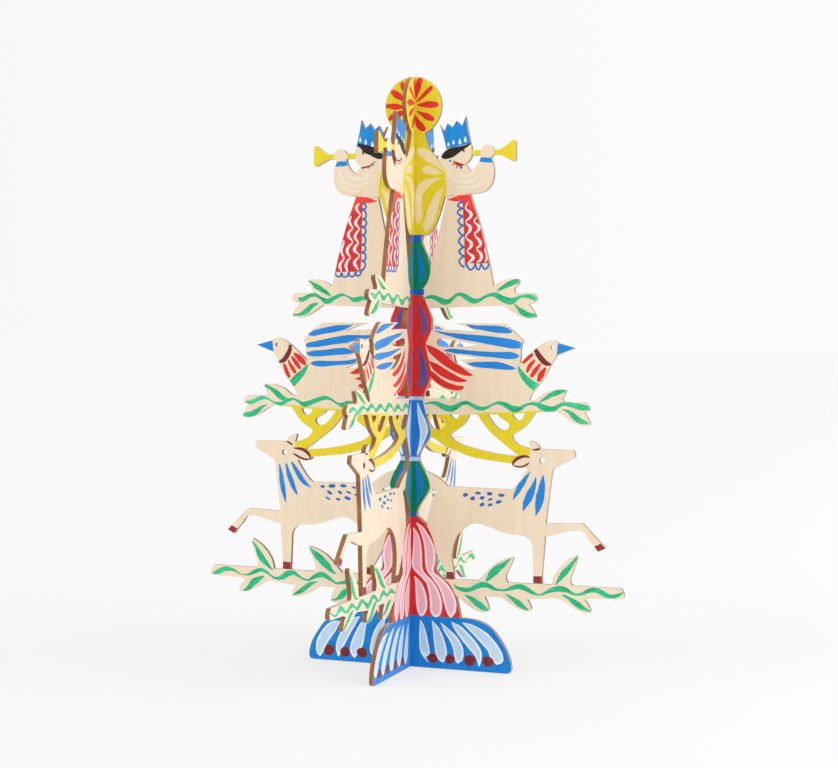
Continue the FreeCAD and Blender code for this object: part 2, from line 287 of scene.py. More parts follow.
INNER_PETALS = (
    (((8.6, 32.4), (8.4, 24), (8.6, 15), (9.6, 10.5), (11.6, 7.6)),
     ((11.2, 27.5), (13.2, 20), (15, 11.5), (14.4, 9))),
    (((17, 32.3), (18, 26), (19.2, 17), (20.4, 10), (22.6, 6.4), (25, 5)),
     ((21.5, 27.5), (25, 20.5), (27, 13), (27, 8.5))))
FOOT_PETALS = (
    INNER_PETALS + (
        (((23.4, 31.2), (26.3, 25.3), (30.4, 19.5), (33, 13), (33.6, 8), (35.6, 5)),
         ((29, 27), (34.8, 21.5), (38.2, 16), (39, 11), (38, 7))),
        (((31, 32.2), (33, 28), (38, 21.8), (43.3, 15.8), (47.6, 11.3), (49.6, 8), (50.5, 4.2)),
         ((37, 29.5), (43, 24.5), (48.5, 18.5), (51.6, 13.5), (51.7, 8.5))),
        (((38.6, 32.4), (43, 28.3), (50, 22), (56.5, 15.5), (58.6, 11), (61, 8), (63, 6.2)),
         ((46, 30.8), (53.5, 27.3), (60, 21.8), (64.8, 15.5), (66.8, 10), (66, 7.5)))),
    INNER_PETALS + (
        (((30, 32), (31.8, 22), (33.2, 14), (34.6, 10.4), (37.4, 6), (39, 3.6)),
         ((35.6, 25.6), (38.6, 19.4), (41, 13.6), (42, 9), (41, 5.6))),
        (((35.6, 31.8), (38.4, 27), (42.4, 20.6), (45.6, 14.6), (47.8, 10.6), (49.6, 6.6), (51, 3.8)),
         ((41, 30), (46, 24.6), (49.6, 18.6), (52, 12.6), (52.2, 7.6))),
        (((50, 27.6), (54, 20.4), (57.6, 15.4), (60.6, 11), (62.6, 6.6), (64.6, 3)),
         ((55, 27.2), (59.6, 24), (63.6, 19), (66.4, 14), (67.2, 8.6), (66.4, 4.6)))),
    ((((6, 30.4), (6.6, 22), (7, 14), (7.8, 8.6), (9.6, 5), (11, 4.2)),
      ((9.4, 24), (12.4, 16), (14, 9.6), (13, 6))),
     (((15.6, 30.6), (16.4, 24), (18.8, 16.4), (20.2, 10), (22, 6.4), (24, 4.6)),
      ((20.4, 25.6), (24.4, 18.6), (27, 11.6), (26.6, 7))),
     (((22, 31), (26.6, 26), (31, 19.4), (34, 13), (36, 7.6), (38.4, 4.4)),
      ((29.6, 28), (35.6, 22), (40.2, 15.4), (42, 9.6), (41, 5.8))),
     (((35.2, 32), (39.6, 26.4), (44.6, 20), (49.2, 13.6), (52, 8.6), (54.6, 4.6)),
      ((42, 28.6), (48.4, 22.8), (54, 16.6), (57.4, 10.6), (57.4, 6.6))),
     (((46.6, 30.6), (52, 26.4), (58, 21), (62.6, 15.4), (65.6, 10), (68.6, 5.4)),
      ((55.4, 28.8), (62.6, 23.6), (68, 17.4), (71.2, 11.4), (71, 7.4)))))
FOOT_DOTS = (
    (((17.7, 6.9), 7.0), ((30, 7.1), 6.9), ((44, 7.2), 8.0), ((56.8, 7.3), 7.6)),
    (((17.7, 6.9), 7.0), ((33.6, 7), 7.4), ((46.2, 6.7), 7.2), ((57.9, 7.2), 7.8)),
    (((17.2, 6.4), 6.2), ((31.4, 6.6), 6.8), ((46.6, 6.6), 6.6), ((61.4, 6.4), 6.4)))


def paint_foot(add, hand):
    add("foot_blue", 0, corners((-0.4, -2), (80, -2), (80, 35.6), (-0.4, 35.3)))
    for left, right in FOOT_PETALS[hand]:
        add_rimmed_petal(add, "pale_blue", left, right, "white", 1.1)
    if hand == 0:
        add("pale_blue", 1, stroke(((11.6, 8), (13, 5.8), (14.4, 4)), (1.6, 1.3, 0.4)))
    for centre, width in FOOT_DOTS[hand]:
        add("maroon", 3, spot(centre, width, width * 0.96))


def paint_skirt(add, hand):
    side = ((37.7, 35), (36.2, 41), (33.8, 50), (28.7, 58.3), (23, 62.5), (19.4, 67),
            (19.3, 77), (17.1, 87.2), (12.7, 96.5), (9.4, 99.6), (6.6, 103))
    add("red", 0, area(((-0.4, 35), (37.7, 35)), side, ((6.6, 102.6), (-0.4, 102.6), (-0.4, 35))))
    ribbons = (
        (((3.1, 94.8), (3.6, 88), (3.1, 78), (2.8, 70), (4.6, 66.2), (8, 63.2), (11, 60.5),
          (13.8, 56.8), (15.3, 51), (15.9, 45), (16.3, 39.5), (17.6, 36.6), (19.4, 35.5)),
         ((6.2, 90.5), (8, 84), (8.7, 77), (8.7, 70), (9.6, 66), (12, 63), (15.8, 59.6), (19.3, 55.2),
          (21.7, 50.5), (23.1, 45), (22.9, 40), (21.8, 36.6))),
        (((5.2, 98.2), (8.4, 92.5), (10.7, 86), (11.9, 80), (12.3, 73), (13.1, 67.8), (15.2, 64.4),
          (18.2, 60.8), (21.5, 56.6), (24.2, 51), (26.2, 44.5), (28, 39), (30.2, 35.8)),
         ((9.6, 95.4), (13.2, 90.6), (16, 85.5), (17.9, 79.5), (18.2, 73.5), (17.1, 68.3), (17.6, 65),
          (20.5, 62.6), (25, 59.2), (29.2, 54.6), (32.4, 49.2), (33.4, 44), (32.8, 39.4))),
        (((4.2, 61.8), (5.2, 57), (5.8, 50), (6.2, 44), (7, 39), (8.2, 36.4), (9.4, 35.5)),
         ((8, 58), (10.8, 53), (12.4, 47), (12.6, 41.5), (11.4, 37.4))))
    for left, right in ribbons:
        add_rimmed_petal(add, "pink", left, right, "blush", 1.5)


def paint_vases(add, hand):
    add("dark_blue", 1, corners((-0.4, 102.3), (8, 102.3), (8, 105.3), (-0.4, 105.1)))
    green_side = ((6.6, 104.8), (7.6, 110.5), (13.2, 119), (14.4, 123), (13.3, 128), (10.4, 134.5),
                  (7.2, 140.8))
    add("vase_green", 0, area(((-0.4, 104.8), (6.6, 104.8)), green_side, ((7.2, 140.8), (-0.4, 140.8))))
    add("vase_stripe", 1, stroke(((4.5, 139.5), (5.5, 134), (7, 128), (7.6, 121), (6.6, 115.5), (5.4, 110)),
                                 (0.6, 3, 5, 4.8, 2.6, 0.6)))
    add("band", 1, corners((-0.4, 140.2), (8, 140.4), (8, 143.2), (-0.4, 143.1)))
    blue_side = ((6.9, 142.8), (8.6, 148), (11.6, 152.5), (14.3, 157.4), (14.6, 160.6), (13.4, 165.5),
                 (10.8, 173.5), (8.8, 182.4))
    add("vase_blue", 0, area(((-0.4, 142.8), (6.9, 142.8)), blue_side, ((8.8, 182.4), (-0.4, 182.4))))
    left = ((5.1, 179.8), (5.4, 173), (6.4, 167), (7.5, 161), (7.3, 154.5), (6.4, 149.5), (5.4, 144.6))
    right = ((7.6, 174.2), (10.6, 167.6), (12.3, 161.4), (10.8, 156.2), (8.3, 150.6))
    add_rimmed_petal(add, "pale_blue", left, right, "white", 0.9)
    add("band", 1, corners((-0.4, 181.6), (10, 181.8), (10, 184.2), (-0.4, 184)))
    red_side = ((9.4, 184), (10.6, 187.5), (12.8, 192.3), (14.1, 198), (14, 203.5), (12.4, 210.5),
                (10.6, 218.4), (11.8, 222.6), (13.8, 227.4), (15.1, 232.8), (14.9, 237), (13.4, 241),
                (8.6, 251.8))
    add("red", 0, area(((-0.4, 184), (9.4, 184)), red_side, ((7.4, 253), (-0.4, 253))))
    add("violet", 1, stroke(((4.4, 247.5), (6.4, 243), (8.6, 238), (9.6, 233), (9.3, 229), (8, 225)),
                            (0.6, 1.8, 3.2, 3.6, 2.8, 0.6)))
    add("violet", 1, stroke(((5.6, 219), (6.8, 213), (8.3, 207), (9.3, 200), (8.4, 194.5), (6.4, 190.8)),
                            (0.6, 2.2, 3.6, 4.6, 4.4, 1.8)))
    add("dark_blue", 1, corners((-0.4, 252.7), (9, 252.7), (9, 256.6), (-0.4, 256.4)))
    bulb_side = ((7.6, 256.2), (11.1, 260.9), (12.9, 266), (13.3, 271), (12.4, 276.6), (10.2, 282),
                 (7.2, 288.7))
    add("vase_green", 0, area(((-0.4, 256.2), (7.6, 256.2)), bulb_side, ((7.2, 288.7), (-0.4, 288.7))))
    add("vase_stripe", 1, stroke(((3.8, 286), (4.7, 281), (6, 276), (7, 270.5), (6.8, 265.5), (5.6, 261)),
                                 (0.5, 2, 3.6, 4.4, 3.4, 0.8)))
    add("dark_blue", 1, corners((-0.4, 288.3), (9, 288.3), (9, 293.4), (-0.4, 293.2)))


LOW_RAY = (((2, 372.6), (3.6, 368.6), (5.5, 366.2), (7.3, 364.6)), (1.4, 4.2, 5, 3.6))
SUN_RAYS = (
    ((((1.9, 385.2), (3, 391), (4.4, 396), (5.1, 398)), (0.7, 3.2, 4.3, 3.4)),
     (((2.3, 382.9), (5, 385.2), (9, 388.7), (12.4, 391.8)), (0.8, 1.8, 3.2, 3.2)),
     (((3, 380.9), (6, 380.8), (11, 380.7), (16.4, 380.6)), (0.8, 2.8, 4.8, 3.6)),
     (((3, 376.8), (6, 375), (10, 372.7), (13.4, 371)), (0.8, 2.4, 4.4, 3.4)),
     LOW_RAY),
    ((((2, 384), (4.5, 388.5), (7.2, 392.5), (7.9, 395.6)), (0.9, 2, 3.3, 2.8)),
     (((3, 382), (8, 385.4), (11, 387.6), (14, 389.8), (14.8, 390)), (0.9, 3.4, 4.8, 4.4, 3)),
     (((3, 380.2), (8, 379.9), (13, 380.3), (17, 380.7), (19.4, 380.7)), (0.9, 2.2, 4.4, 3.4, 3)),
     (((3, 378), (8, 376), (9.4, 375.5), (15, 373), (16.4, 372)), (0.9, 3, 3.8, 3.8, 2.6)),
     LOW_RAY),
    ((((1.4, 385.6), (2.4, 390), (3.4, 394), (3.8, 396.8)), (1, 3.2, 4, 2.8)),
     (((2.6, 384.8), (7, 387), (10, 389), (13.4, 391)), (0.9, 2.6, 3.2, 2)),
     (((3, 381.7), (8, 381.6), (12, 381.2), (16.8, 380.6)), (0.9, 3.2, 4.8, 2.6)),
     (((4, 378.4), (8, 376), (11, 374.4), (13.4, 372.6)), (0.9, 3, 3.6, 2)),
     (((1.6, 374.6), (4, 370.6), (6, 367.2), (7, 365.4)), (1.2, 3.8, 3.8, 2))))


def paint_urn_and_sun(add, hand):
    urn_side = ((7, 293.2), (13, 294.2), (15.9, 297.6), (18.2, 302.3), (22, 313.8), (23.8, 319), (24.2, 325),
                (23.9, 330.5), (22.4, 336.9), (19.4, 341.6), (18.4, 344), (14, 352), (12, 362))
    add("yellow", 0, area(((-0.4, 293.2), (7, 293.2)), urn_side, ((21.3, 364), (21.3, 404), (-0.4, 404)),
                          wobble=0.05))
    petals = (
        (((3.4, 352.2), (7.2, 351.8), (11.5, 349.8), (16, 345.6), (20, 339.6), (22.4, 335.4)),
         ((3.4, 348.4), (6, 345.6), (10.4, 342.6), (15.6, 339.6))),
        (((6.8, 337.6), (9.4, 339.9), (13.4, 339.4), (17.4, 337), (21, 334)),
         ((7.6, 334.9), (11.6, 333.9), (16.2, 333.6))),
        (((21.8, 331.3), (14.4, 331.5), (7.4, 329.5), (3.4, 325.5), (2.3, 319), (2.1, 310),
          (2.6, 303.5), (4.2, 300.8)),
         ((16, 329.2), (10.6, 325), (7.2, 319.4), (6.9, 313), (7, 307.4), (5.9, 302.8))),
        (((22.6, 325.4), (17.2, 321.6), (13.5, 316), (10.8, 310), (9.2, 304), (7.6, 299.2), (9, 295.5)),
         ((20.2, 319), (18.1, 311), (15.8, 303.4), (13, 297.8), (11.2, 296))))
    for left, right in petals:
        add("cream", 1, petal(left, right, wobble=0.2))
    for points, widths in SUN_RAYS[hand]:
        add("bright_red", 1, stroke(points, widths))


DROPS = (
    (((25.2, 353.7), 1.5, 2.6), ((28.9, 355), 1.5, 2.6), ((33.3, 355.3), 2, 3.4), ((37.2, 356.6), 2, 3.6)),
    (((25.4, 354), 1.6, 3.0), ((29.1, 355.2), 1.8, 3.6), ((34, 357), 1.8, 3.2), ((38, 358.6), 1.6, 3.4)),
    (((24.6, 354), 1.8, 3.2), ((28.6, 355.4), 1.6, 2.8), ((33.4, 357.4), 2.2, 3.4), ((37.6, 359), 1.6, 3.0)))
HAIR = (
    ((41.6, 354.6), (38.6, 353.4), (34.6, 352.4), (30, 351.8), (25.6, 350.8), (22.2, 348.4),
     (20.2, 345.6), (21.4, 344.2), (25, 344.1), (29, 345.3), (32, 347.3), (34.4, 348.9), (36.2, 350),
     (38.6, 351.6), (40.6, 353.2), (41.6, 354.6)),
    ((39.8, 356.4), (39.9, 355), (37.4, 352.4), (35.4, 350), (31, 348), (28, 346.4), (25, 345.2),
     (22, 345.4), (20.8, 346.2), (22, 348.6), (24, 350), (26.6, 352.2), (30, 354), (35, 355.2),
     (39.8, 356.4)),
    ((39.6, 357.4), (34, 356.4), (29, 354.6), (24, 352.4), (20.6, 349.4), (20, 346.6), (22, 345),
     (25, 345.8), (28, 347.6), (31, 350), (33.6, 351.6), (36.4, 353.8), (39, 355.8), (39.6, 357.4)))
CURLS = (((35.4, 349.8), (36.2, 348.9), (36.7, 348.4)), ((35.6, 350.4), (36, 349.2), (36.2, 348.4)),
         ((34.6, 352), (35.6, 350.8), (36, 349.8)))
BEADS = (
    (((26.6, 342.6), 1.7), ((28.7, 340.2), 1.3), ((31.4, 338.4), 1.3), ((34.4, 338), 2.0)),
    (((27, 343.2), 0.9), ((28.4, 341.2), 1.3), ((31.9, 339.3), 1.0), ((35.8, 338.9), 1.1)),
    (((27.6, 341.2), 1.4), ((30.6, 339.2), 1.5), ((33.4, 338.2), 1.5), ((36.4, 337.8), 1.2)))
SLEEVE = (
    ((((30.6, 333.6), (36, 332.2), (42, 333.6), (46.4, 338.4)), (0.6, 2, 2.2, 0.8)),
     (((25, 336.4), (27.6, 331.6), (33, 328.9), (40, 328.6), (46, 330.6), (50.6, 335.2)),
      (0.6, 2, 2.4, 2.4, 2, 0.8)),
     (((29, 326), (36, 324.6), (44, 325), (50, 328)), (0.6, 1.8, 2.2, 0.6))),
    ((((30, 334.8), (38, 332), (45, 333.6), (49.6, 338.6)), (1.2, 2.2, 2.4, 1.2)),
     (((32, 329), (42, 327.2), (49, 330), (53, 337)), (1.5, 2.6, 2.6, 1.4)),
     (((38, 323.6), (46, 324), (52, 328), (54.6, 334)), (1, 1.6, 1.6, 1))),
    ((((28, 336), (35, 333.2), (42, 334), (47, 338.6)), (0.8, 2.2, 2.4, 1)),
     (((27, 330.6), (36, 328.4), (45, 329.6), (51, 335)), (0.8, 2.2, 2.4, 1)),
     (((33, 324.8), (41, 323.6), (48, 325.6), (52.4, 331)), (0.8, 1.6, 1.8, 0.8))))
WAVES = (
    (((39.3, 314.3), (37.9, 311.9), (38.2, 310.1), (40.9, 308.3), (41.8, 306.4), (40.7, 304.3),
      (38.3, 302.4), (38.5, 300.5), (40.9, 298.7), (41.3, 296.7), (40.3, 294.6), (38.4, 292.7),
      (38.7, 290.5), (41.5, 288.2), (42.1, 286), (41.2, 284.2), (39.4, 282.4), (40.4, 280.6),
      (43, 278.8), (43.3, 277.2), (41.5, 275.5), (40.1, 274)),
     ((45.5, 304.4), (44, 302.5), (44.6, 300.8), (46.9, 299), (47.4, 297.2), (46.5, 295.6),
      (44.5, 294), (45, 292), (47.2, 289.8), (48.4, 287.4), (48, 285.6), (45.9, 284.3), (46.6, 282.5),
      (48.7, 280.5), (49.3, 278.2), (48.5, 276.1), (46.4, 274.8)),
     ((52, 284.5), (51.5, 283), (52.5, 280.9), (53.3, 278.7), (52.9, 276.6), (52, 274.7))),
    (((38.6, 315.2), (40.4, 312.5), (39.4, 309.8), (37.6, 307.6), (39.4, 305), (41, 302),
      (39.2, 299.4), (38, 297.8), (40.2, 295.4), (41.4, 292.4), (39.8, 289.8), (38.6, 288.4),
      (40.6, 286.2), (41.8, 283.6), (39.6, 281.4), (38, 279.4), (40.2, 277), (41.6, 274.6),
      (40.2, 272.2), (38.6, 270)),
     ((44.4, 306.6), (45.6, 303.5), (44.2, 300.5), (43, 298.4), (45.4, 296), (46.2, 293), (44, 290.6),
      (43, 288.6), (45.4, 286.4), (47, 283.4), (46.2, 280.6), (44.6, 278.6), (46.6, 276.2),
      (47.8, 273.2), (47.2, 270.6), (46.6, 268.8)),
     ((49.4, 290), (49.6, 288), (51, 285), (51.2, 282), (50, 279.6), (49.4, 277.6), (51, 275.4),
      (52.4, 272.8), (51.6, 270.6), (51, 268.8))),
    (((34, 314.6), (37.4, 312.6), (38.8, 310), (38.4, 307.4), (36, 305.2), (34.6, 304), (37.6, 302.6),
      (40.6, 300), (40.8, 297.6), (38.4, 295.4), (36.4, 293.6), (37.6, 291.4), (40.6, 288.4),
      (40.4, 285.6), (37.6, 283.4), (37, 281.6), (39.4, 279.4), (40.4, 276.6), (38.4, 274),
      (37.4, 272)),
     ((43.6, 305.6), (45.8, 303), (45.9, 299.4), (44.4, 296.6), (42.4, 293.8), (44.6, 291.4),
      (46.4, 288), (45.6, 284.6), (43.4, 281.8), (45.6, 279.4), (47.4, 276), (46, 272.6),
      (44.8, 270.6)),
     ((48.8, 294.4), (50.8, 291), (50.4, 288), (48.2, 285.4), (50.4, 282.6), (51.6, 279.4),
      (50.8, 276), (51.8, 273), (52.4, 271))))
APRON = (((35.7, 316), (36.2, 305), (36.9, 295), (37.2, 285), (37.5, 273.6)),
         ((36, 316), (36.2, 305), (36.4, 295), (36.4, 283), (37.2, 268.6)),
         ((33.8, 314), (34.4, 304), (34.8, 293), (35, 281), (35.6, 270)))
HEM = (273.9, 268.6, 270)
SIDE_BOWS = (
    ((35.8, 315.1), (35, 310.6), (35.7, 305.2), (35.8, 299.2), (36.2, 292.5), (36.7, 284.7), (36.7, 278.7),
     (36.8, 271.8)),
    ((35.8, 315.4), (35.8, 311), (35.2, 304.4), (35.6, 299.2), (35.8, 293.6), (35.6, 287), (35.8, 281.8),
     (35.6, 276), (36.6, 269.4)),
    ((34.6, 313.4), (34.4, 306.8), (34.4, 301.4), (34.8, 295), (35, 288.8), (35.2, 282.6), (35, 276.4),
     (35.8, 270.6)))
SIDE_REACH = (3.2, 2.3, 3.2)
HEM_BOWS = (((38.6, 273.3), (45, 273.2), (49.2, 273.3), (54.8, 273.6)),
            ((36.6, 268.8), (40.6, 268), (45.8, 268), (51, 267.6), (55.8, 268.4)),
            ((36.4, 270), (41, 269.8), (46, 269.6), (51, 269.6), (56, 269.8)))
HEM_REACH = (3.7, 2.6, 3.0)
# how full each bow is: 0.5 comes nearly to a point, 0.75 is round
BOW_SWELL = (0.5, 0.74, 0.74)
BOW_TUCK = 0.16                              # how far a bow's shoulders are from its ends, as a share
WAVE_WIDTH = 1.5                             # a wavy line's usual width
WAVE_SWELL = 0.22                            # how much it gains at the outer bends and loses at the inner


def paint_trumpeter(add, hand):
    add("blue", 0, corners((23.6, 350.8), (16, 368), (20, 374), (40, 376), (41.4, 354.2), (34, 352.6),
                           wobble=0.05))
    for (r, z), width, height in DROPS[hand]:
        down = ((r, z + height / 2), (r, z), (r, z - height / 4))
        add("white", 1, stroke(down, (0.5, width * 0.8, width)))
    add("black", 1, area(HAIR[hand], wobble=0.05))
    add("black", 1, stroke(CURLS[hand], (1.4, 1.1, 0.4), wobble=0))
    if hand == 0:
        add("red", 1, petal(((28.4, 342.8), (31.6, 341.7), (34.8, 340.6), (37.4, 339.4)),
                            ((30, 340.3), (33, 338.8))))
    else:
        add("red", 1, stroke(((28, 343), (30.4, 340.8), (33, 340), (36.8, 339.7)), (0.7, 1.1, 1.3, 1)))
    for centre, width in BEADS[hand]:
        add("trim_blue", 2, spot(centre, width, width * 0.9))
    add("yellow", 0, corners((41.2, 345), (47.8, 345), (47.8, 351), (41.2, 351)))
    add("yellow", 0, corners((57, 345.6), (57.4, 350.4), (66, 358), (75, 358), (75, 339), (66, 339)))
    add("blue", 1, area(((47, 344.2), (50, 344.4), (53, 344.2), (57, 343.7)),
                        ((57, 340.6), (53, 340.9), (50, 341), (47, 341.7))))
    for points, widths in SLEEVE[hand]:
        add("sleeve", 0, stroke(points, widths))
    add("bright_red", 0, area(((24.7, 316.9), (27.4, 317.5), (30.5, 318.6), (34.5, 319.8), (42.4, 320.8)),
                       ((42.4, 320.8), (46, 308), (36, 314.8), (31, 315.4), (27.6, 316), (24.7, 316.9))))
    side, hem = APRON[hand], HEM[hand]
    add("red", 0, area(side, (side[-1], (45.6, hem), (60, hem)), ((60, hem), (46, 320))))
    for line in WAVES[hand]:
        across = [r for r, z in line]
        before, after = [across[0]] * 2 + across[:-2], across[2:] + [across[-1]] * 2
        widths = [WAVE_WIDTH + WAVE_SWELL * (r - (r0 + r1) / 2)
                  for r, r0, r1 in zip(across, before, after)]
        add("blush", 1, stroke(line, [0.8] + widths[1:-1] + [0.9]))
    for joints, reach, (out_r, out_z) in ((SIDE_BOWS[hand], SIDE_REACH[hand], (-1, 0)),
                                          (HEM_BOWS[hand], HEM_REACH[hand], (0, -1))):
        for (r0, z0), (r1, z1) in zip(joints, joints[1:]):
            tuck_r, tuck_z = (r1 - r0) * BOW_TUCK, (z1 - z0) * BOW_TUCK
            near, far = reach * BOW_SWELL[hand], reach
            bow = ((r0, z0), (r0 + tuck_r + out_r * near, z0 + tuck_z + out_z * near),
                   ((r0 + r1) / 2 + out_r * far, (z0 + z1) / 2 + out_z * far),
                   (r1 - tuck_r + out_r * near, z1 - tuck_z + out_z * near), (r1, z1))
            add("trim_blue", 1, stroke(bow, (1.8, 1.3, 1.3, 1.3, 1.8), wobble=0.15))


HIGH_BRANCH = (
    ((((8.5, 250), (12, 251.3), (16, 251.3), (20, 249.6), (23.5, 248), (27, 248.6), (30, 251.2),
       (33, 253.2), (36, 253), (39, 251.2), (44, 248.7), (48, 249.3), (52, 251.5), (56, 253),
       (60, 252.6), (65, 249.8), (70, 248.6), (73, 249.8), (76, 251.5), (81, 252.2), (84.5, 251.3),
       (87.2, 249.6)),
      (0.5, 2, 3, 3.6, 3.8, 3, 2.4, 2.2, 2.8, 3.4, 3.6, 2.6, 1.8, 2.2, 3.6, 4.4, 4.2, 3, 2, 2.6, 3,
       1.8)),
     (((60.5, 255.2), (63, 257), (68, 259.7), (72, 261.4), (74.6, 261.8)), (0.5, 2.2, 3.3, 3.4, 2.8)),
     (((72.3, 246.8), (75, 244), (78, 241.5), (82, 239.7), (86.6, 239.2)), (0.6, 2.2, 4, 3.6, 2))),
    ((((8.5, 250), (12, 251.3), (16, 251.3), (20, 249.6), (23.5, 248), (27, 248.4), (30, 250),
       (34, 250.6), (38, 250), (42, 249.4), (45, 251), (48, 252.6), (52, 252.6), (56, 250.8),
       (60, 248.8), (63, 248.6), (66, 250.6), (70, 252.6), (74, 252.6), (77, 251), (80, 249.6),
       (82, 250)),
      (0.5, 2, 3, 3.6, 3.8, 3, 2, 2.2, 3.4, 3.2, 1.6, 1.2, 2.2, 3, 3.6, 3.6, 1.8, 2.4, 2.6, 3, 3, 2.6)),
     (((59.6, 252.6), (62.6, 254.6), (66, 256.8), (70, 259), (73, 261.2), (75, 262.4)),
      (1.6, 3, 3.4, 3.2, 1.4, 1)),
     (((69, 246.8), (72, 245.6), (75, 243.4), (78, 241), (81, 239.6), (84.5, 239), (87, 239)),
      (1.4, 2.8, 4, 3.6, 2, 1.4, 1.2))),
    ((((8.5, 247.6), (10.5, 248.9), (13, 250.3), (16, 250.6), (18.5, 249.6), (21, 248.2), (24, 247.2),
       (27, 247.6), (30, 249.6), (32.5, 251.4), (35, 251.3), (37.5, 250), (41, 247.6), (44, 247.6),
       (47, 249.6), (50, 251.6), (52.5, 251.8), (55, 251), (58, 249.4), (61, 248.8), (64, 250.2),
       (67, 252.5), (69, 253), (71, 252), (74, 250), (77, 249.4), (80, 250.6), (84, 251.6)),
      (2, 3, 2.4, 1.8, 2, 3, 4, 3.4, 2, 1.6, 1.8, 2.6, 4, 4.2, 3, 1.8, 1.6, 1.8, 2.8, 3.6, 3, 2, 2,
       2.2, 2.6, 3.4, 2.6, 1.2)),
     (((56.6, 255.4), (60, 255.5), (64, 257.2), (68, 259.4), (71.8, 261.6)), (1, 2.2, 3.2, 2.4, 1)),
     (((67.8, 247.6), (70, 246.4), (73, 243.8), (76, 241.8), (80, 239.9), (84, 238.8)),
      (1, 2.4, 4, 4, 2.6, 1))))


def paint_high_branch(add, hand):
    for points, widths in HIGH_BRANCH[hand]:
        add("leaf_green", 1, stroke(points, widths))


FEATHERS = (
    ((((39, 233.2), (46, 232.5), (56, 232.4), (64, 232), (68, 230.8), (71.5, 228.7)),
      ((43, 230.6), (50, 229.3), (58, 228), (66, 227.2), (70, 227.5))),
     (((15, 229), (24, 227.8), (34, 226.9), (46, 226.1), (58, 225.1), (70, 223.5), (76.4, 221.9),
       (78.2, 220)),
      ((22, 226.6), (30, 224.3), (38, 222.7), (48, 221.1), (58, 219.3), (66, 218), (73, 217.2),
       (77.4, 217.9))),
     (((22.6, 215.2), (27, 216.6), (34, 216.4), (44, 215.5), (54, 215), (64, 214.9), (70, 215),
       (75, 213.5), (76.3, 212.2)),
      ((30, 213.9), (40, 212.9), (50, 211.8), (58, 211.2), (66, 210.4), (73, 210.4))),
     (((39.5, 207), (46, 208), (54, 208.3), (62, 208.2), (68, 206.7), (72, 205.1), (74, 203.9)),
      ((44, 205.2), (50, 204.2), (58, 203.7), (66, 203.1), (71, 203.1)))),
    ((((38, 233.6), (44, 232.3), (52, 232.2), (60, 231), (66, 229.8), (71, 228.4), (74, 226.8),
       (75.8, 225.3)),
      ((42, 232.4), (46, 230), (51, 228.2), (58, 226.9), (64, 225.9), (70, 224.6), (73, 224.5))),
     (((24, 225.2), (30, 225.4), (38, 225.3), (46, 225.3), (54, 224.2), (62, 222.6), (70, 221),
       (76, 219.4), (78.2, 218)),
      ((31, 223.4), (34, 222.6), (38, 223), (42, 221.2), (48, 219.8), (54, 219), (62, 217.8),
       (68, 216.9), (74, 216.6), (77.4, 216.8))),
     (((41.4, 213.4), (44, 215.4), (48, 216.4), (54, 216.2), (62, 215.2), (70, 214.4), (75, 213.6),
       (76.8, 212.6)),
      ((44, 212.4), (50, 211.8), (58, 211.1), (66, 210.4), (72, 210.2), (75.6, 211.2))),
     (((39, 208.6), (41, 209), (44, 208.2), (50, 207.6), (58, 207.4), (66, 207.4), (71, 207),
       (73.8, 205.8)),
      ((40.4, 206.6), (44, 205.2), (50, 204.8), (58, 204), (64, 203.3), (69, 203.6), (72.6, 204.6)))),
    ((((38, 233.8), (44, 233.2), (50, 232.8), (56, 232.7), (62, 232), (67, 230.4), (71, 228.8),
       (73.6, 226.6)),
      ((44, 232), (50, 230.6), (56, 229.2), (62, 227.7), (67, 226.7), (71, 226))),
     (((22, 227.6), (28, 226.8), (34, 226.4), (42, 225.4), (50, 224.4), (58, 223.4), (66, 222.2),
       (73, 221), (76.8, 219)),
      ((27, 225.3), (33, 223.8), (40, 222.4), (46, 220.4), (52, 218.7), (60, 217.4), (68, 216.2),
       (74, 215.6))),
     (((25, 216.5), (31, 216.6), (38, 215.8), (46, 215), (54, 214.3), (62, 214), (70, 213.6),
       (75, 212.6), (77.4, 211.2)),
      ((33, 215), (40, 213), (46, 211.8), (54, 210.8), (62, 209.8), (70, 209.4), (75.4, 210))),
     (((41, 207.6), (46, 207.8), (52, 207.7), (60, 207), (66, 206.4), (73, 205)),
      ((44.6, 205.8), (50, 204.4), (57, 203.3), (64, 203.2), (70, 203.7)))))
TAIL = (
    ((((10.5, 219.6), (16, 217.8), (22, 214.6), (30, 208.8), (38, 203.2), (42, 200.6), (44.6, 199.2)),
      ((12.6, 214.8), (17.5, 210), (23, 205.9), (30, 201.9), (37, 199), (42, 198.5))),
     (((12.6, 208.6), (19, 206.2), (26, 202.2), (32, 199), (37, 196.7), (40.6, 195.6)),
      ((15.4, 203.2), (19.5, 199.6), (25, 196.7), (31, 194.7), (37, 194.3))),
     (((11, 203.4), (16, 201), (22, 196.4), (28, 193.5), (34, 192), (37, 191.8), (38.2, 190.3)),
      ((13.4, 198.4), (17.5, 194.3), (23, 191), (29, 189.1), (35, 188.7)))),
    ((((17.4, 217.4), (20, 214), (24, 209.8), (28, 206.4), (34, 203.2), (40, 201.2), (43, 199.6)),
      ((18.4, 212.4), (21, 207.8), (25, 203.6), (30, 200.6), (36, 198.6), (40.6, 198.4))),
     (((16, 208.6), (19, 205.6), (22, 201.8), (27, 198.6), (32, 196), (37, 193.8), (40.8, 192.8)),
      ((17, 204), (20, 199.6), (24, 195.8), (29, 193), (34, 191.4), (38.4, 191.2))),
     (((11, 203), (17, 199.4), (21, 196), (26, 192.6), (31, 190), (36, 187.4), (39.6, 185.6)),
      ((13, 196), (16, 190.4), (20, 186.6), (24, 185.8), (29, 185.8), (34, 185.6)))))
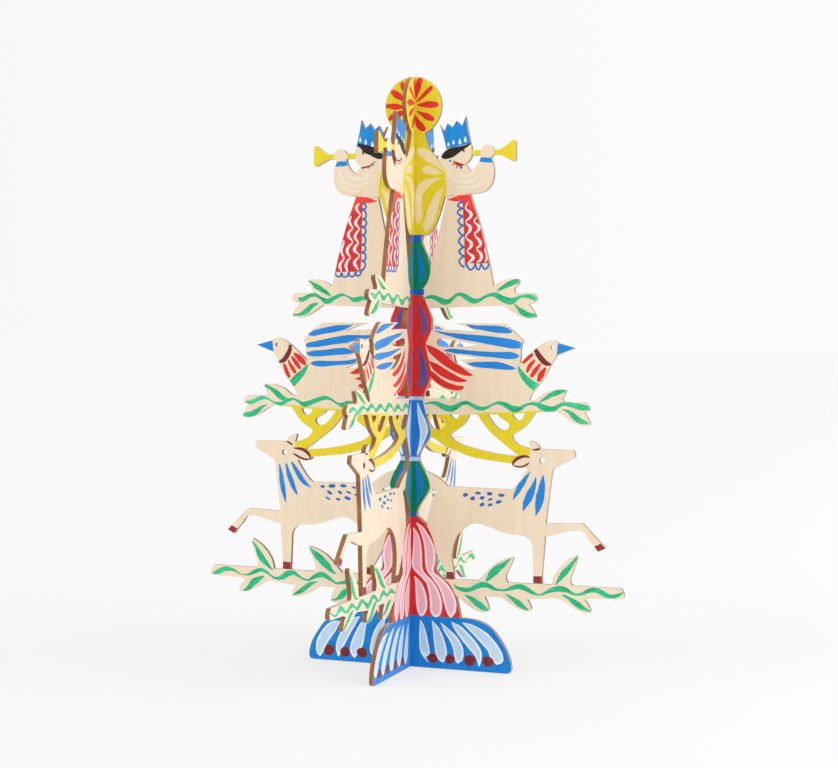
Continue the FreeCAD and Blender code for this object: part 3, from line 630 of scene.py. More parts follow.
BAND = (
    (((87.2, 216.3), (89.4, 213), (92, 210), (94.8, 207.7), (97.4, 206.9)), (2.8, 3.6, 3.7, 3.2, 1.6)),
    (((88.6, 217.8), (89.4, 214.4), (91, 211), (93.2, 208.2), (95.4, 206.6), (97.2, 206.2)),
     (2.4, 3.2, 3.4, 3.2, 2.6, 1.4)),
    (((85.6, 215), (88, 211.8), (91, 208.6), (94, 207), (96.6, 206.3)), (2.6, 3.6, 3.6, 2.6, 1.4)))
COLLAR = (
    ((((79, 208.2), (81.5, 210.4), (84.7, 213.3)), (2, 2.4, 2)),
     (((81.6, 202.4), (83.4, 205.8), (86.4, 209.4)), (2, 2.8, 1.6)),
     (((84.8, 199.4), (87.4, 203.2), (90.2, 206.9)), (2.4, 3, 1.6)),
     (((89.7, 196.8), (91.4, 200.4), (94, 204.4)), (2.8, 4, 1.4))),
    ((((78, 205.2), (80.6, 208), (83.4, 210.4), (85.4, 211.8)), (2.6, 4, 3.6, 2)),
     (((81.6, 202.2), (84, 205.2), (86.4, 208.2), (87.6, 209.8)), (2, 3, 2.4, 1.4)),
     (((85, 199.2), (87.2, 202), (89, 205), (90.2, 207.2)), (2.2, 2.8, 2, 1.2)),
     (((89.6, 196.4), (91.2, 199.4), (92.8, 202.8), (93.4, 204.6)), (2.4, 3, 2.4, 1.6))),
    ((((77.6, 204.4), (79.6, 207), (82.6, 210.8)), (2.2, 3.2, 2)),
     (((81, 200.6), (83.2, 204.2), (86.2, 207.6)), (1.8, 2.6, 1.6)),
     (((85.2, 197.6), (87.4, 200.8), (90.6, 205)), (1.6, 2.8, 1.4)),
     (((91, 195.6), (92.6, 199.4), (95, 203.4)), (2.4, 3.4, 1.8))))
BREAST = (
    (((75.2, 206.6), (77.8, 203.2), (80.8, 199.9), (84, 197.3), (87.2, 195.4), (90.8, 193.7)),
     ((75.6, 202), (78, 197.2), (81.2, 193.4), (84.4, 190.8), (87.4, 189.2))),
    (((75, 205.2), (77.6, 203.2), (81, 200.4), (84.6, 197.6), (87.6, 194.8), (89.3, 191.6),
      (88, 189.6)),
     ((75.6, 202.6), (77.6, 198.4), (80.4, 195), (83, 192), (85.6, 189.6))),
    (((74.6, 204.4), (77.6, 201.8), (80.6, 199), (83.6, 195.6), (86.6, 192), (88.4, 189.6)),
     ((75.8, 199.6), (78.4, 195), (81.4, 191.2), (84, 188.8), (86.2, 187.8))))


def paint_bird(add, hand):
    for top, bottom in FEATHERS[hand]:
        add("feather_blue", 1, petal(top, bottom, wobble=0.16))
    for top, bottom in TAIL[hand // 2]:
        add("bright_red", 1, petal(top, bottom, wobble=0.12))
    add("maroon", 1, stroke(*BAND[hand]))
    for points, widths in COLLAR[hand]:
        add("bright_red", 1, stroke(points, widths))
    add("leaf_green", 1, petal(*BREAST[hand]))
    add("blue", 1, corners((102.6, 223), (101.5, 212), (116, 212), (116, 223)))


MIDDLE_BRANCH = (
    ((((10.5, 179.3), (15, 180.1), (19, 179.6), (24, 177.2), (28.5, 176.2), (32, 177.6), (36, 179.8),
       (40, 180.5), (44, 178.9), (47, 177.6), (51, 176.9), (55, 178), (59, 180.2), (62, 181),
       (66, 180.2), (70, 178), (73, 176.9), (77, 177.6), (80, 179.6), (84, 180.8), (88, 180.6),
       (92, 178.9), (97, 177.6), (101, 178.2), (105, 180.6), (108, 181.4), (113, 180.5), (118, 179.4),
       (122.6, 178.8)),
      (0.7, 1.8, 3, 4, 4.2, 3.6, 2.8, 2.6, 2.6, 2.8, 2.6, 1.8, 1.4, 2.2, 3.2, 4, 4.2, 3, 1.8, 1.8, 2.6,
       4, 4.2, 3, 2.4, 2.8, 3.2, 4.4, 3)),
     (((90.2, 182), (93, 183.8), (98, 186.8), (103, 188.8), (107.4, 189.8)), (0.7, 1.8, 3.2, 3, 1.6)),
     (((106, 177.6), (110, 176), (114, 173), (118, 170.3), (122.6, 168.8)),
      (0.7, 2.2, 3.6, 3.4, 1.8))),
    ((((10.5, 179.3), (15, 180.1), (19, 179.6), (24, 177.2), (28.5, 176.2), (32, 177.6), (36, 179.4),
       (42, 179), (46, 178.6), (50, 177.2), (54, 178.4), (58, 180.8), (62, 181.9), (66, 181.2),
       (70, 179.6), (74, 178), (78, 177), (82, 178.8), (86, 180.6), (90, 179.6), (95, 177.2),
       (100, 177.6), (104, 179.4), (108, 181), (112, 180.4), (116, 178.6), (119, 177.4), (121.6, 178)),
      (0.7, 1.8, 3, 4, 4.2, 3.6, 2.2, 1.6, 2.8, 3.2, 1.4, 1.6, 2.6, 3.2, 3.4, 3.6, 3.4, 2, 1.4, 2, 2.6,
       1.6, 1.2, 2, 2.8, 3.2, 3, 1.6)),
     (((88, 179.8), (92, 180.4), (96, 182), (100, 185.2), (104, 188), (108, 189.6)),
      (1.4, 2.6, 4, 3.6, 2.4, 2.2)),
     (((106.6, 176), (110, 174.4), (114, 171.6), (118, 169.2), (121, 168.6), (124, 168.6)),
      (0.8, 2, 3.4, 4.2, 4, 2.6))),
    ((((10, 177.2), (13, 178.2), (16, 178.5), (19, 176.8), (22, 175.4), (24.6, 175.6), (27, 177),
       (30, 178.3), (33, 178.2), (36, 176.4), (38, 175.6), (41, 177.4), (45, 179.6), (49, 179.7),
       (52, 178), (55, 176.4), (58, 177.4), (62, 179.4), (66, 179.6), (70, 178), (73, 177.2),
       (76, 179), (79, 180.6), (83, 180), (87, 178.2), (91, 178.8), (94, 180), (98, 179.6),
       (102, 177.8), (105, 177), (110, 179.2), (114, 179.6), (118, 178.4)),
      (1.6, 2.4, 3.2, 2.4, 1.6, 1.2, 2, 3, 3.4, 3, 2, 1.4, 2.6, 3.2, 3.6, 2.6, 1.2, 2, 3, 3.2, 2.4,
       1.4, 2.6, 3, 2.6, 1.4, 1.8, 3, 3, 1.8, 1.6, 2.6, 3)),
     (((91.6, 182), (95, 183.6), (99, 185.6), (103, 187.8), (107, 189.4)), (1, 2, 2.8, 2.6, 1.4)),
     (((104.8, 176.4), (109, 175.2), (112, 172.6), (115, 170.2), (118.6, 168.4)),
      (0.8, 2, 3, 3.4, 2))))


def paint_middle_branch(add, hand):
    for points, widths in MIDDLE_BRANCH[hand]:
        add("leaf_green", 1, stroke(points, widths))
    add("yellow", 0, area(((14.6, 149), (14.3, 157.4), (14.7, 160.6), (13.6, 165.5), (11.2, 172.2)),
                          ((11.2, 172.2), (28, 172), (44, 172.6), (48, 174), (60, 174.4), (72, 175),
                           (92, 176.6)),
                          ((92, 176.6), (90, 163)), ((82, 157), (83.4, 153), (84.3, 151), (83.6, 146.6)),
                          ((79, 146.2), (74.6, 144), (72.2, 140.4)), ((66, 138), (30, 143))))


DEER_LINES = (
    ((((72.4, 139.8), (72.8, 141.6), (74.8, 143.8), (77.8, 145.3), (81, 145.9), (83.8, 145.2)),
      (0.8, 1.6, 2.1, 2.1, 1.7, 0.8)),
     (((73, 139.6), (75.6, 138.9), (78, 138.8), (80.5, 139.6), (82.4, 140.6), (83.6, 141.8)),
      (0.6, 1, 1.1, 1.2, 1.2, 0.5)),
     (((86, 150.3), (89, 150.7), (91.2, 151.2)), (0.8, 1.4, 1))),
    ((((72.6, 139.8), (74.6, 142.8), (77.6, 145), (81, 146), (85.2, 146.4)), (0.8, 2, 2.4, 1.8, 1)),
     (((72.6, 139.8), (76, 138.8), (80, 139.6), (83, 141), (85.8, 142.4)), (0.8, 1.2, 1.4, 1.4, 0.8)),
     (((86.8, 148.8), (89, 150), (91, 150.8)), (0.9, 1.4, 0.9))),
    ((((74, 140.8), (76, 143.4), (79, 145.4), (82, 146.2), (84.6, 146.2)), (1.2, 2.4, 2.8, 2, 1)),
     (((73.6, 139.8), (77, 138.9), (79.6, 138.9), (82, 139.6), (84.2, 140.6)), (0.8, 1.1, 1.3, 1.1, 0.7)),
     (((86.6, 149.8), (89.6, 150.6), (92, 151.2)), (0.9, 1.2, 0.8))))
DEER_STRIPES = (
    ((((84.4, 135.6), (81.4, 131.4), (77.6, 125.4), (74.9, 120.6), (73, 117)), (0.5, 2.4, 3.8, 2.8, 0.6)),
     (((88.3, 132.2), (87.2, 126.8), (84.4, 120.4), (81.9, 115), (79.9, 109.8)), (0.6, 3, 5.2, 4.2, 0.7)),
     (((93.4, 133.4), (92.8, 127.4), (91.5, 119.8), (90.3, 113), (88.6, 107)), (0.8, 3.8, 5.8, 4.2, 0.8))),
    ((((86.8, 136), (84, 131.6), (81, 127), (77.4, 122.8), (73, 119.6)), (1.6, 3, 3.6, 3, 0.8)),
     (((91.3, 135), (89.6, 129), (87.4, 123.6), (85, 118), (82.8, 114)), (1.4, 2.8, 3.8, 2.8, 0.8)),
     (((96.4, 134.6), (95.2, 128), (94.3, 122), (93.2, 116), (91.5, 108.6)), (0.8, 2.6, 3.8, 3.2, 0.7))),
    ((((86.8, 137), (84.8, 133), (82, 128), (79.4, 124)), (1.6, 2.6, 3, 1)),
     (((91, 135.6), (88.6, 130), (86, 124.6), (83, 119), (81, 115.6)), (1.4, 2.8, 4, 3.6, 1)),
     (((94.8, 134.4), (93.6, 129), (92.4, 123), (90.8, 117.4), (90.4, 115)), (2.2, 3.2, 3.6, 2.4, 1))))
DEER_SPOTS = (
    (((39.7, 118.6), 4.0, 2.5, 25), ((44.8, 116.5), 3.9, 2.5, 20), ((48.5, 120.2), 4.2, 2.0, 0),
     ((51.5, 117.1), 3.6, 2.4, 20), ((56.6, 120.1), 4.2, 2.4, 5), ((57.2, 116.3), 3.7, 1.6, 25),
     ((51.4, 112.6), 3.8, 2.3, 35), ((57.1, 112.7), 3.8, 1.9, 25), ((64.8, 119.4), 4.8, 2.2, 0),
     ((63, 114.9), 4.4, 2.3, 15)),
    (((40.6, 120.6), 3, 1.6, 8), ((48.4, 121.4), 5, 2.2, 0), ((56.8, 121), 5.2, 2.8, -8),
     ((63.8, 120.4), 3.2, 2.2, 0), ((44.4, 117), 3.8, 1.5, 20), ((50.9, 116.8), 4, 1.8, 25),
     ((58.6, 116.4), 4.8, 2, 30), ((39.4, 115.6), 1.6, 1.4, 0), ((45.2, 113), 5, 2.4, 10),
     ((52.2, 112), 3.8, 1.7, 12), ((59.8, 112.4), 4.2, 1.4, 32)),
    (((36.8, 121), 4, 1.7, 5), ((44, 121.5), 5.2, 1.9, 5), ((54.2, 120.6), 4.8, 2.1, 0),
     ((63.6, 119.6), 5.4, 2.1, -5), ((49, 118), 4.2, 1.7, 0), ((42.6, 116.9), 4.2, 1.6, -5),
     ((55.4, 116.6), 5.6, 2.3, 15), ((59.4, 114.6), 4.8, 1.7, 25), ((48.6, 112.5), 4.4, 1.6, 10),
     ((41.6, 111.4), 2.4, 1, 5)))


def paint_deer(add, hand):
    for points, widths in DEER_LINES[hand]:
        add("maroon", 2, stroke(points, widths))
    for points, widths in DEER_STRIPES[hand]:
        add("feather_blue", 1, stroke(points, widths))
    for centre, length, width, tilt in DEER_SPOTS[hand]:
        add("spot_blue", 1, spot(centre, length, width, tilt))
    add("maroon", 1, corners((128.2, 88.1), (132.8, 90.4), (139, 90), (139, 83), (131, 82)))
    add("maroon", 1, corners((86, 61.7), (96, 61.7), (96, 66.8), (86, 66.5)))
    add("maroon", 1, corners((25, 61.2), (34, 61.2), (34, 66.2), (25, 66)))


LOW_BRANCH = (
    ((((32.4, 57.6), (34.5, 55.8), (38, 54.9), (42, 54.6), (46, 56), (50, 58.2), (53.5, 59.1),
       (57, 58.2), (60.5, 56.4), (65, 55.9), (69, 56.4), (73, 58), (77, 58.8), (81, 58.4), (85, 56.6),
       (88.5, 54.9), (91.5, 54.2), (95, 55.4), (99, 57.6), (103, 58.9), (106.5, 59.1), (110, 58.3),
       (113.5, 56.8), (117, 56), (121, 57), (125, 58.8), (129, 59.6), (133, 58.7), (137, 56.6),
       (140.5, 56), (144.5, 57), (147.6, 59)),
      (0.8, 2, 2.8, 3, 3.2, 3.6, 3.8, 3.2, 2.2, 1.4, 1.8, 2.8, 3.4, 3.6, 3, 1.8, 1.1, 1.6, 2.8, 3.6,
       3.8, 3.2, 2, 1.4, 1.8, 2.8, 3.2, 3.6, 3, 2.6, 2.2, 1)),
     (((55.6, 62.4), (58.5, 66), (62, 69.4), (66, 72.6), (71.5, 77.2)), (2.4, 4.6, 5, 3.6, 0.9)),
     (((102.8, 61.6), (105.5, 66), (109, 70.4), (112.5, 74.6), (116.5, 80.2)),
      (0.7, 2.8, 3.8, 3.1, 1.5)),
     (((40, 51.3), (44, 49.2), (48.6, 46.4), (52.5, 43.6), (56.1, 41.8)), (0.7, 2.6, 4.6, 4, 1.6)),
     (((68.6, 53.2), (72.5, 51.2), (77, 48.2), (80.5, 45.6), (84.2, 43.9)), (0.7, 2.4, 3.8, 3, 0.8)),
     (((107.6, 55.2), (112, 53), (117, 50), (121, 47.4), (125.8, 45.4)), (1, 2.4, 3.8, 3, 0.9))),
    ((((32.4, 57.6), (34.5, 55.8), (38, 54.9), (42, 54.8), (45, 55.2), (48, 54.6), (51, 54),
       (54, 54.2), (58, 56.6), (62, 58.8), (66, 59), (70, 57), (74, 54.8), (78, 55.4), (82, 57.8),
       (86, 59.4), (90, 58), (94, 55.6), (98, 54.8), (102, 56.2), (106, 58.8), (110, 60), (114, 59),
       (118, 56.8), (122, 55.8), (126, 56.4), (130, 58.4), (134, 59.4), (139, 58.8), (143, 57),
       (146.6, 56)),
      (0.8, 2, 2.8, 3, 3, 2.4, 1.8, 1.4, 2.4, 3.6, 4, 2.4, 1.4, 1.2, 2.2, 3, 4, 3.4, 2, 1.2, 2, 2.8, 3,
       2, 1, 0.8, 1.6, 2.6, 3.4, 3.6, 1.6)),
     (((53.6, 60.4), (57, 62.4), (61, 66.8), (66, 71), (70, 74.4), (72.6, 77)),
      (0.8, 2.6, 5, 5, 3.2, 1)),
     (((101, 60.4), (104, 62.8), (107.6, 66.6), (110.8, 70.8), (113.6, 75.6), (116.4, 79.6)),
      (0.8, 2.2, 4.2, 4, 2.4, 1)),
     (((40, 51.3), (44, 49.6), (47, 47.8), (49, 45.4), (53, 42.8), (57, 41.8)),
      (0.8, 2.6, 4.4, 4.4, 2, 0.8)),
     (((67.6, 54), (72, 52.4), (76, 49.6), (80, 46.6), (85.4, 44)), (0.8, 2.6, 3.6, 3, 0.8)),
     (((108, 55.6), (112, 53.4), (116, 50.6), (119.6, 46.8), (124.8, 43.4)),
      (1.2, 3.6, 4.6, 3.2, 0.8))),
    ((((33, 54.6), (36, 55.8), (40, 57.2), (43, 57.4), (46, 56.2), (49, 55.2), (52, 57), (55, 58.2),
       (58, 57.8), (61, 55.6), (64, 54.2), (67, 55), (70, 57), (74, 58.4), (77, 57.6), (80, 55.4),
       (84, 53.8), (88, 55.4), (92, 57.8), (95, 58.2), (98, 57.2), (101, 55.4), (104, 55), (107, 56.4),
       (110, 58), (113, 58.3), (117, 57), (120, 55.6), (123, 55.8), (127, 58), (131, 59.4),
       (134, 58.4), (137, 56.6), (140, 56), (144, 57.4), (147.6, 59)),
      (1.2, 1.8, 2.8, 3, 2.2, 1.8, 2.2, 3, 3.4, 3, 1.6, 1.6, 2.4, 2.8, 3.6, 4, 3.8, 2.6, 2.4, 3, 3.6,
       3, 2, 1.6, 2.6, 3, 2.8, 2, 1.6, 2.6, 3.6, 3.4, 2.4, 1.6, 1.2, 1)),
     (((53, 61.2), (57, 63), (61, 67), (65, 71), (69, 74.2), (73.6, 76.8)),
      (1.8, 3.4, 4.6, 4.4, 3, 1)),
     (((102, 60.8), (106, 62), (109, 65.6), (112, 70.4), (114.6, 75), (118, 79.6)),
      (0.8, 2, 3.6, 3.8, 3.4, 1.4)),
     (((41, 51.4), (45, 49.8), (48.4, 47.6), (52, 45), (56.6, 43.4)), (1, 3.4, 4.2, 3, 1)),
     (((68.4, 54.6), (72, 52.6), (75, 49.8), (78, 46.6), (81.6, 44.6), (86, 44.2)),
      (1.6, 3.6, 4.4, 4.2, 3, 1)),
     (((110, 54.6), (114, 52.8), (118, 50.2), (122, 47.4), (126.4, 45.2)), (1, 3, 3.2, 2.4, 1))))


def paint_low_branch(add, hand):
    for points, widths in LOW_BRANCH[hand]:
        add("leaf_green", 1, stroke(points, widths))


def painting(side, hand):
    """All that one of the three hands painted on half a face: {(colour, level): shapes}."""
    coats = {}

    def add(colour, level, shape):
        coats.setdefault((colour, level), []).append(shape.on_side(side))

    for part in (paint_foot, paint_skirt, paint_vases, paint_urn_and_sun, paint_trumpeter,
                 paint_high_branch, paint_bird, paint_middle_branch, paint_deer, paint_low_branch):
        part(add, hand)
    return coats


# ---------------------------------------------------------------- from drawings to paint films

TOUCHING = 1e-6                              # in metres
SAME_POINT = 1e-5                            # in millimetres


def joined(shapes, loops):
    """The shapes joined and cut to the panel's outline: points, triangles and each one's shape."""
    rings = [anticlockwise(ring) for ring in loops + [shape.outline for shape in shapes]]
    points, faces = [], []
    for ring in rings:
        faces.append(list(range(len(points), len(points) + len(ring))))
        points += [Vector(p) for p in ring.tolist()]
    spots, _, triangles, _, _, owners = delaunay_2d_cdt(points, [], faces, 0, SAME_POINT)
    holes = set(range(1, len(loops)))
    kept, owner = [], []
    for triangle, owned in zip(triangles, owners):
        inside = [i - len(loops) for i in owned if i >= len(loops)]
        if inside and 0 in owned and not holes.intersection(owned):
            kept.append(tuple(triangle))
            owner.append(max(inside))
    return np.array([tuple(p) for p in spots]), kept, owner


class Panel:
    """One plywood panel: its place, its outline and the films painted on it."""

    def __init__(self, node):
        self.node = node
        self.object = frame["nodes"][node]
        low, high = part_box(node)
        size = high - low
        self.thin = min(range(2), key=lambda axis: size[axis])
        self.wide = 1 - self.thin
        self.half = size[self.thin] / 2
        self.films = {}

    def loops(self):
        """The closed outlines of the panel's face as (s, z) in millimetres, the outer one first."""
        mesh = self.object.data
        index, places = {}, []
        number = []
        for v in mesh.vertices:
            key = (round(v.co[self.wide], 7), round(v.co.z, 7))
            number.append(index.setdefault(key, len(places)))
            if number[-1] == len(places):
                places.append(key)
        edges = set()
        for polygon in mesh.polygons:
            away = [abs(mesh.vertices[i].co[self.thin] - self.half) for i in polygon.vertices]
            if max(away) < TOUCHING:
                ring = [number[i] for i in polygon.vertices]
                edges.update(zip(ring, ring[1:] + ring[:1]))
        following = {a: b for a, b in edges if (b, a) not in edges}
        loops = []
        while following:
            start = next(iter(following))
            loop, here = [], start
            while here in following:
                loop.append(places[here])
                here = following.pop(here)
            loops.append(np.array(loop) / MM)
        loops.sort(key=lambda loop: -abs(area_of(loop)))
        return loops

    def film(self, colour):
        """The film of one colour, made when it is first asked for."""
        empty = {"points": [], "faces": [], "brush": [], "coat": [], "wear": []}
        return self.films.setdefault(colour, empty)

    def lay(self, colour, level, shapes, loops, facing):
        """Adds one coat of a colour on one face, as a closed film."""
        place, kept, owner = joined(shapes, loops)
        if not kept:
            return
        used = sorted(set(corner for triangle in kept for corner in triangle))
        order = {corner: i for i, corner in enumerate(used)}
        count = len(used)
        film = self.film(colour)
        base = len(film["points"])
        along, up, out = Vector(), Vector((0, 0, 1)), Vector()
        along[self.wide] = 1
        out[self.thin] = facing
        turned = along.cross(up).dot(out) < 0
        top_height = LEVELS[level] + COLOUR_STEP * list(PAINTS).index(colour)
        for height in (top_height, SUNK):
            for s, z in place[used]:
                film["points"].append(along * (s * MM) + up * (z * MM) + out * (self.half + height * MM))
        brushed = {}
        for own in set(owner):
            mine = sorted(set(corner for triangle, o in zip(kept, owner) if o == own for corner in triangle))
            for corner, row in zip(mine, shapes[own].brush(place[mine])):
                brushed[own, corner] = tuple(row)
        edges = {}
        for triangle, own in zip(kept, owner):
            for edge in zip(triangle, triangle[1:] + triangle[:1]):
                edges[edge] = own

        def face(numbers, ring, own):
            """One face of the film, from its points' numbers and the drawing's points below them."""
            if turned:
                numbers, ring = numbers[::-1], ring[::-1]
            film["faces"].append([base + number for number in numbers])
            for corner in ring:
                length, across, edge, share = brushed[own, corner]
                film["brush"].append((length / MAP_UNIT, across / MAP_UNIT))
                film["coat"].append((edge, shapes[own].tone))
                film["wear"].append((share, shapes[own].dry))

        for triangle, own in zip(kept, owner):
            top = [order[corner] for corner in triangle]
            bottom = [number + count for number in top]
            face(top, triangle, own)
            face(bottom[::-1], triangle[::-1], own)
        for (a, b), own in edges.items():
            if (b, a) not in edges:
                face([order[a] + count, order[b] + count, order[b], order[a]], [a, b, b, a], own)


def inset(loop):
    """The outline a little way in, where the paint stops."""
    loop = anticlockwise(loop)
    bare = np.where(abs(loop[:, 0]) < SLOT_REACH, SLOT_RIM, RIM + ripple(lengths(loop), RIM / 2))
    return loop - outward(loop) * bare[:, None]


def outset(loop):
    """A hole's outline a little way out into the wood."""
    loop = anticlockwise(loop)
    return loop + outward(loop) * RIM


# ---------------------------------------------------------------- materials

def linear(code):
    """A colour written as RRGGBB, as linear red, green, blue and 1."""
    parts = [int(code[i:i + 2], 16) / 255 for i in (0, 2, 4)]
    return tuple(c / 12.92 if c <= 0.04045 else ((c + 0.055) / 1.055) ** 2.4 for c in parts) + (1.0,)


WOOD_LIGHT, WOOD_MID, WOOD_DARK = linear("E4D2B9"), linear("DFCDB2"), linear("D4C0A2")
WOOD_PORE, WOOD_WARM = linear("C2A98A"), linear("E1CAAD")
BURNT_LIGHT, BURNT_MID, BURNT_DARK = linear("AA6F3C"), linear("8B582E"), linear("6B3F1E")
CHAR, SCORCH = linear("4A2E18"), linear("B58B5C")

# how fast the wood's noise changes across and along the grain, per metre
GRAIN_BEND, GRAIN_FIGURE, GRAIN_FIBRE, GRAIN_PORE = (14, 5), (170, 5), (1300, 36), (2600, 190)
GRAIN_SWAY = 0.012                           # how far the grain wanders sideways, in metres
WOOD_CLOUD = 22.0
SOOT_ALONG, SOOT_THROUGH, SOOT_PATCH = 900, 160, 55.0
# where the middle ply ends and the dark line of glue lies, as shares of the way out to a face
CORE_END, GLUE_START, GLUE_END = (0.30, 0.36), (0.27, 0.32), (0.36, 0.41)
SCORCH_REACH = 0.0006                        # how far the laser browned the face round a cut, in metres
WOOD_ROUGHNESS = 0.72
WOOD_RELIEF = (0.35, 0.00008)                # strength and height in metres
PAINT_ROUGHNESS, PAINT_GLOSS = 0.5, 0.15
PAINT_RELIEF = (0.5, 0.00006)
# how fast the paint's noise changes along a stroke, across it and from stroke to stroke
HAIR_ALONG, HAIR_ACROSS, HAIR_STROKE = 3.2, 62, 40
LOAD_ALONG, LOAD_ACROSS, LOAD_STROKE = 1.4, 5, 25
HAIR_WANDER = 1.6


class Nodes:
    """A short way to write a node material."""

    def __init__(self, name):
        self.material = bpy.data.materials.new(name)
        self.material.use_nodes = True
        self.tree = self.material.node_tree
        self.tree.nodes.clear()

    def fill(self, socket, value):
        """Links another node's output to the socket, or sets the socket's own value."""
        if isinstance(value, bpy.types.NodeSocket):
            self.tree.links.new(value, socket)
        else:
            socket.default_value = value

    def add(self, kind, *inputs, out=0, named=None, **settings):
        """A node with its first inputs given in order, as values or as other nodes' outputs."""
        node = self.tree.nodes.new("ShaderNode" + kind)
        for key, value in settings.items():
            setattr(node, key, value)
        for socket, value in zip(node.inputs, inputs):
            self.fill(socket, value)
        for name, value in (named or {}).items():
            self.fill(node.inputs[name], value)
        return node.outputs[out]

    def maths(self, operation, a, b=0.0, clamp=False):
        return self.add("Math", a, b, operation=operation, use_clamp=clamp)

    def xyz(self, vector):
        return self.add("SeparateXYZ", vector).node.outputs

    def noise(self, vector, scale, detail=2.0, roughness=0.5):
        return self.add("TexNoise", named={"Vector": vector, "Scale": scale, "Detail": detail,
                                           "Roughness": roughness})

    def stretched(self, x, y, z, detail=2.0, roughness=0.5):
        """Noise over three values, each given with its own scale; None stands for no value."""
        scaled = [0.0 if pair is None else self.maths("MULTIPLY", *pair) for pair in (x, y, z)]
        return self.noise(self.add("CombineXYZ", *scaled), 1.0, detail, roughness)

    def between(self, value, low, high, to_low=0.0, to_high=1.0):
        """A smooth change from to_low to to_high as the value goes from low to high."""
        return self.add("MapRange", value, low, high, to_low, to_high, interpolation_type="SMOOTHSTEP")

    def mix(self, factor, a, b):
        """A colour between a and b."""
        node = self.tree.nodes.new("ShaderNodeMix")
        node.data_type = "RGBA"
        for index, value in ((0, factor), (6, a), (7, b)):
            self.fill(node.inputs[index], value)
        return node.outputs[2]

    def surface(self, **values):
        """The finished material: a principled shader with these inputs."""
        shader = self.tree.nodes.new("ShaderNodeBsdfPrincipled")
        for name, value in values.items():
            self.fill(shader.inputs[name.replace("_", " ")], value)
        end = self.tree.nodes.new("ShaderNodeOutputMaterial")
        self.tree.links.new(shader.outputs[0], end.inputs[0])
        return self.material


def sanded_face(n, across, height, place):
    """The sheet's pale faces with a fine upright grain: their colour, fibres and pores."""

    def grain(line, speeds, detail=2.0, roughness=0.5):
        return n.stretched((line, speeds[0]), None, (height, speeds[1]), detail, roughness)

    warped = n.maths("ADD", across, n.maths("MULTIPLY", grain(across, GRAIN_BEND), GRAIN_SWAY))
    fibre = grain(warped, GRAIN_FIBRE, 3.0, 0.6)
    pore = grain(warped, GRAIN_PORE, 1.0)
    colour = n.mix(n.between(grain(warped, GRAIN_FIGURE), 0.3, 0.7), WOOD_LIGHT, WOOD_MID)
    colour = n.mix(n.between(fibre, 0.45, 0.8, 0.0, 0.5), colour, WOOD_DARK)
    colour = n.mix(n.between(pore, 0.66, 0.78, 0.0, 0.45), colour, WOOD_PORE)
    cloud = n.noise(place, WOOD_CLOUD)
    colour = n.mix(n.between(cloud, 0.35, 0.75, 0.0, 0.25), colour, WOOD_WARM)
    return colour, fibre, pore


def burnt_side(n, across, through, height, half, patchy):
    """The browned cut sides: soot, and a dark line of glue on each side of the middle ply."""
    soot = n.stretched((across, SOOT_ALONG), (through, SOOT_THROUGH), (height, SOOT_ALONG), 3.0, 0.65)
    depth = n.maths("ABSOLUTE", n.maths("DIVIDE", through, half))
    colour = n.mix(n.between(soot, 0.3, 0.72), BURNT_LIGHT, BURNT_MID)
    colour = n.mix(n.between(patchy, 0.35, 0.7, 0.0, 0.65), colour, BURNT_DARK)
    colour = n.mix(n.between(depth, *CORE_END, 0.55, 0.0), colour, BURNT_MID)
    glue = n.maths("SUBTRACT", n.between(depth, *GLUE_START), n.between(depth, *GLUE_END))
    colour = n.mix(n.maths("MULTIPLY", glue, 0.75), colour, CHAR)
    return n.mix(n.between(depth, 0.9, 1.0, 0.0, 0.5), colour, CHAR)


def plywood(panel):
    """Sanded plywood with laser-cut sides, and a little scorching on the faces next to them."""
    n = Nodes(panel.node + "_wood")
    place = n.add("TexCoord", out=3)
    xyz = n.xyz(place)
    across, through, height = xyz[panel.wide], xyz[panel.thin], xyz[2]
    patchy = n.noise(place, SOOT_PATCH)
    face, fibre, pore = sanded_face(n, across, height, place)
    side = burnt_side(n, across, through, height, panel.half, patchy)

    facing = n.maths("ABSOLUTE", n.xyz(n.add("TexCoord", out=1))[panel.thin])
    is_face = n.between(facing, 0.6, 0.8)
    rounded = n.add("Bevel", SCORCH_REACH, samples=6)
    flat = n.add("NewGeometry", out=1)
    turned = n.add("VectorMath", rounded, flat, operation="DOT_PRODUCT", out=1)
    near_edge = n.between(turned, 0.999, 0.80)
    smoke = n.maths("MULTIPLY", near_edge, n.between(patchy, 0.2, 0.8, 0.35, 1.0), clamp=True)
    face = n.mix(n.maths("MULTIPLY", smoke, 0.4), face, SCORCH)

    colour = n.mix(is_face, side, face)
    sheen = n.maths("MULTIPLY", is_face, n.between(fibre, 0.3, 0.8, 0.32, 0.18))
    rough = n.maths("SUBTRACT", WOOD_ROUGHNESS, sheen)
    grain_height = n.maths("ADD", fibre, n.maths("MULTIPLY", pore, -0.4))
    relief = n.add("Bump", *WOOD_RELIEF, named={"Height": grain_height})
    return n.surface(Base_Color=colour, Roughness=rough, Normal=relief, IOR=1.5,
                     Specular_IOR_Level=0.4, Sheen_Weight=0.6, Sheen_Roughness=0.4)


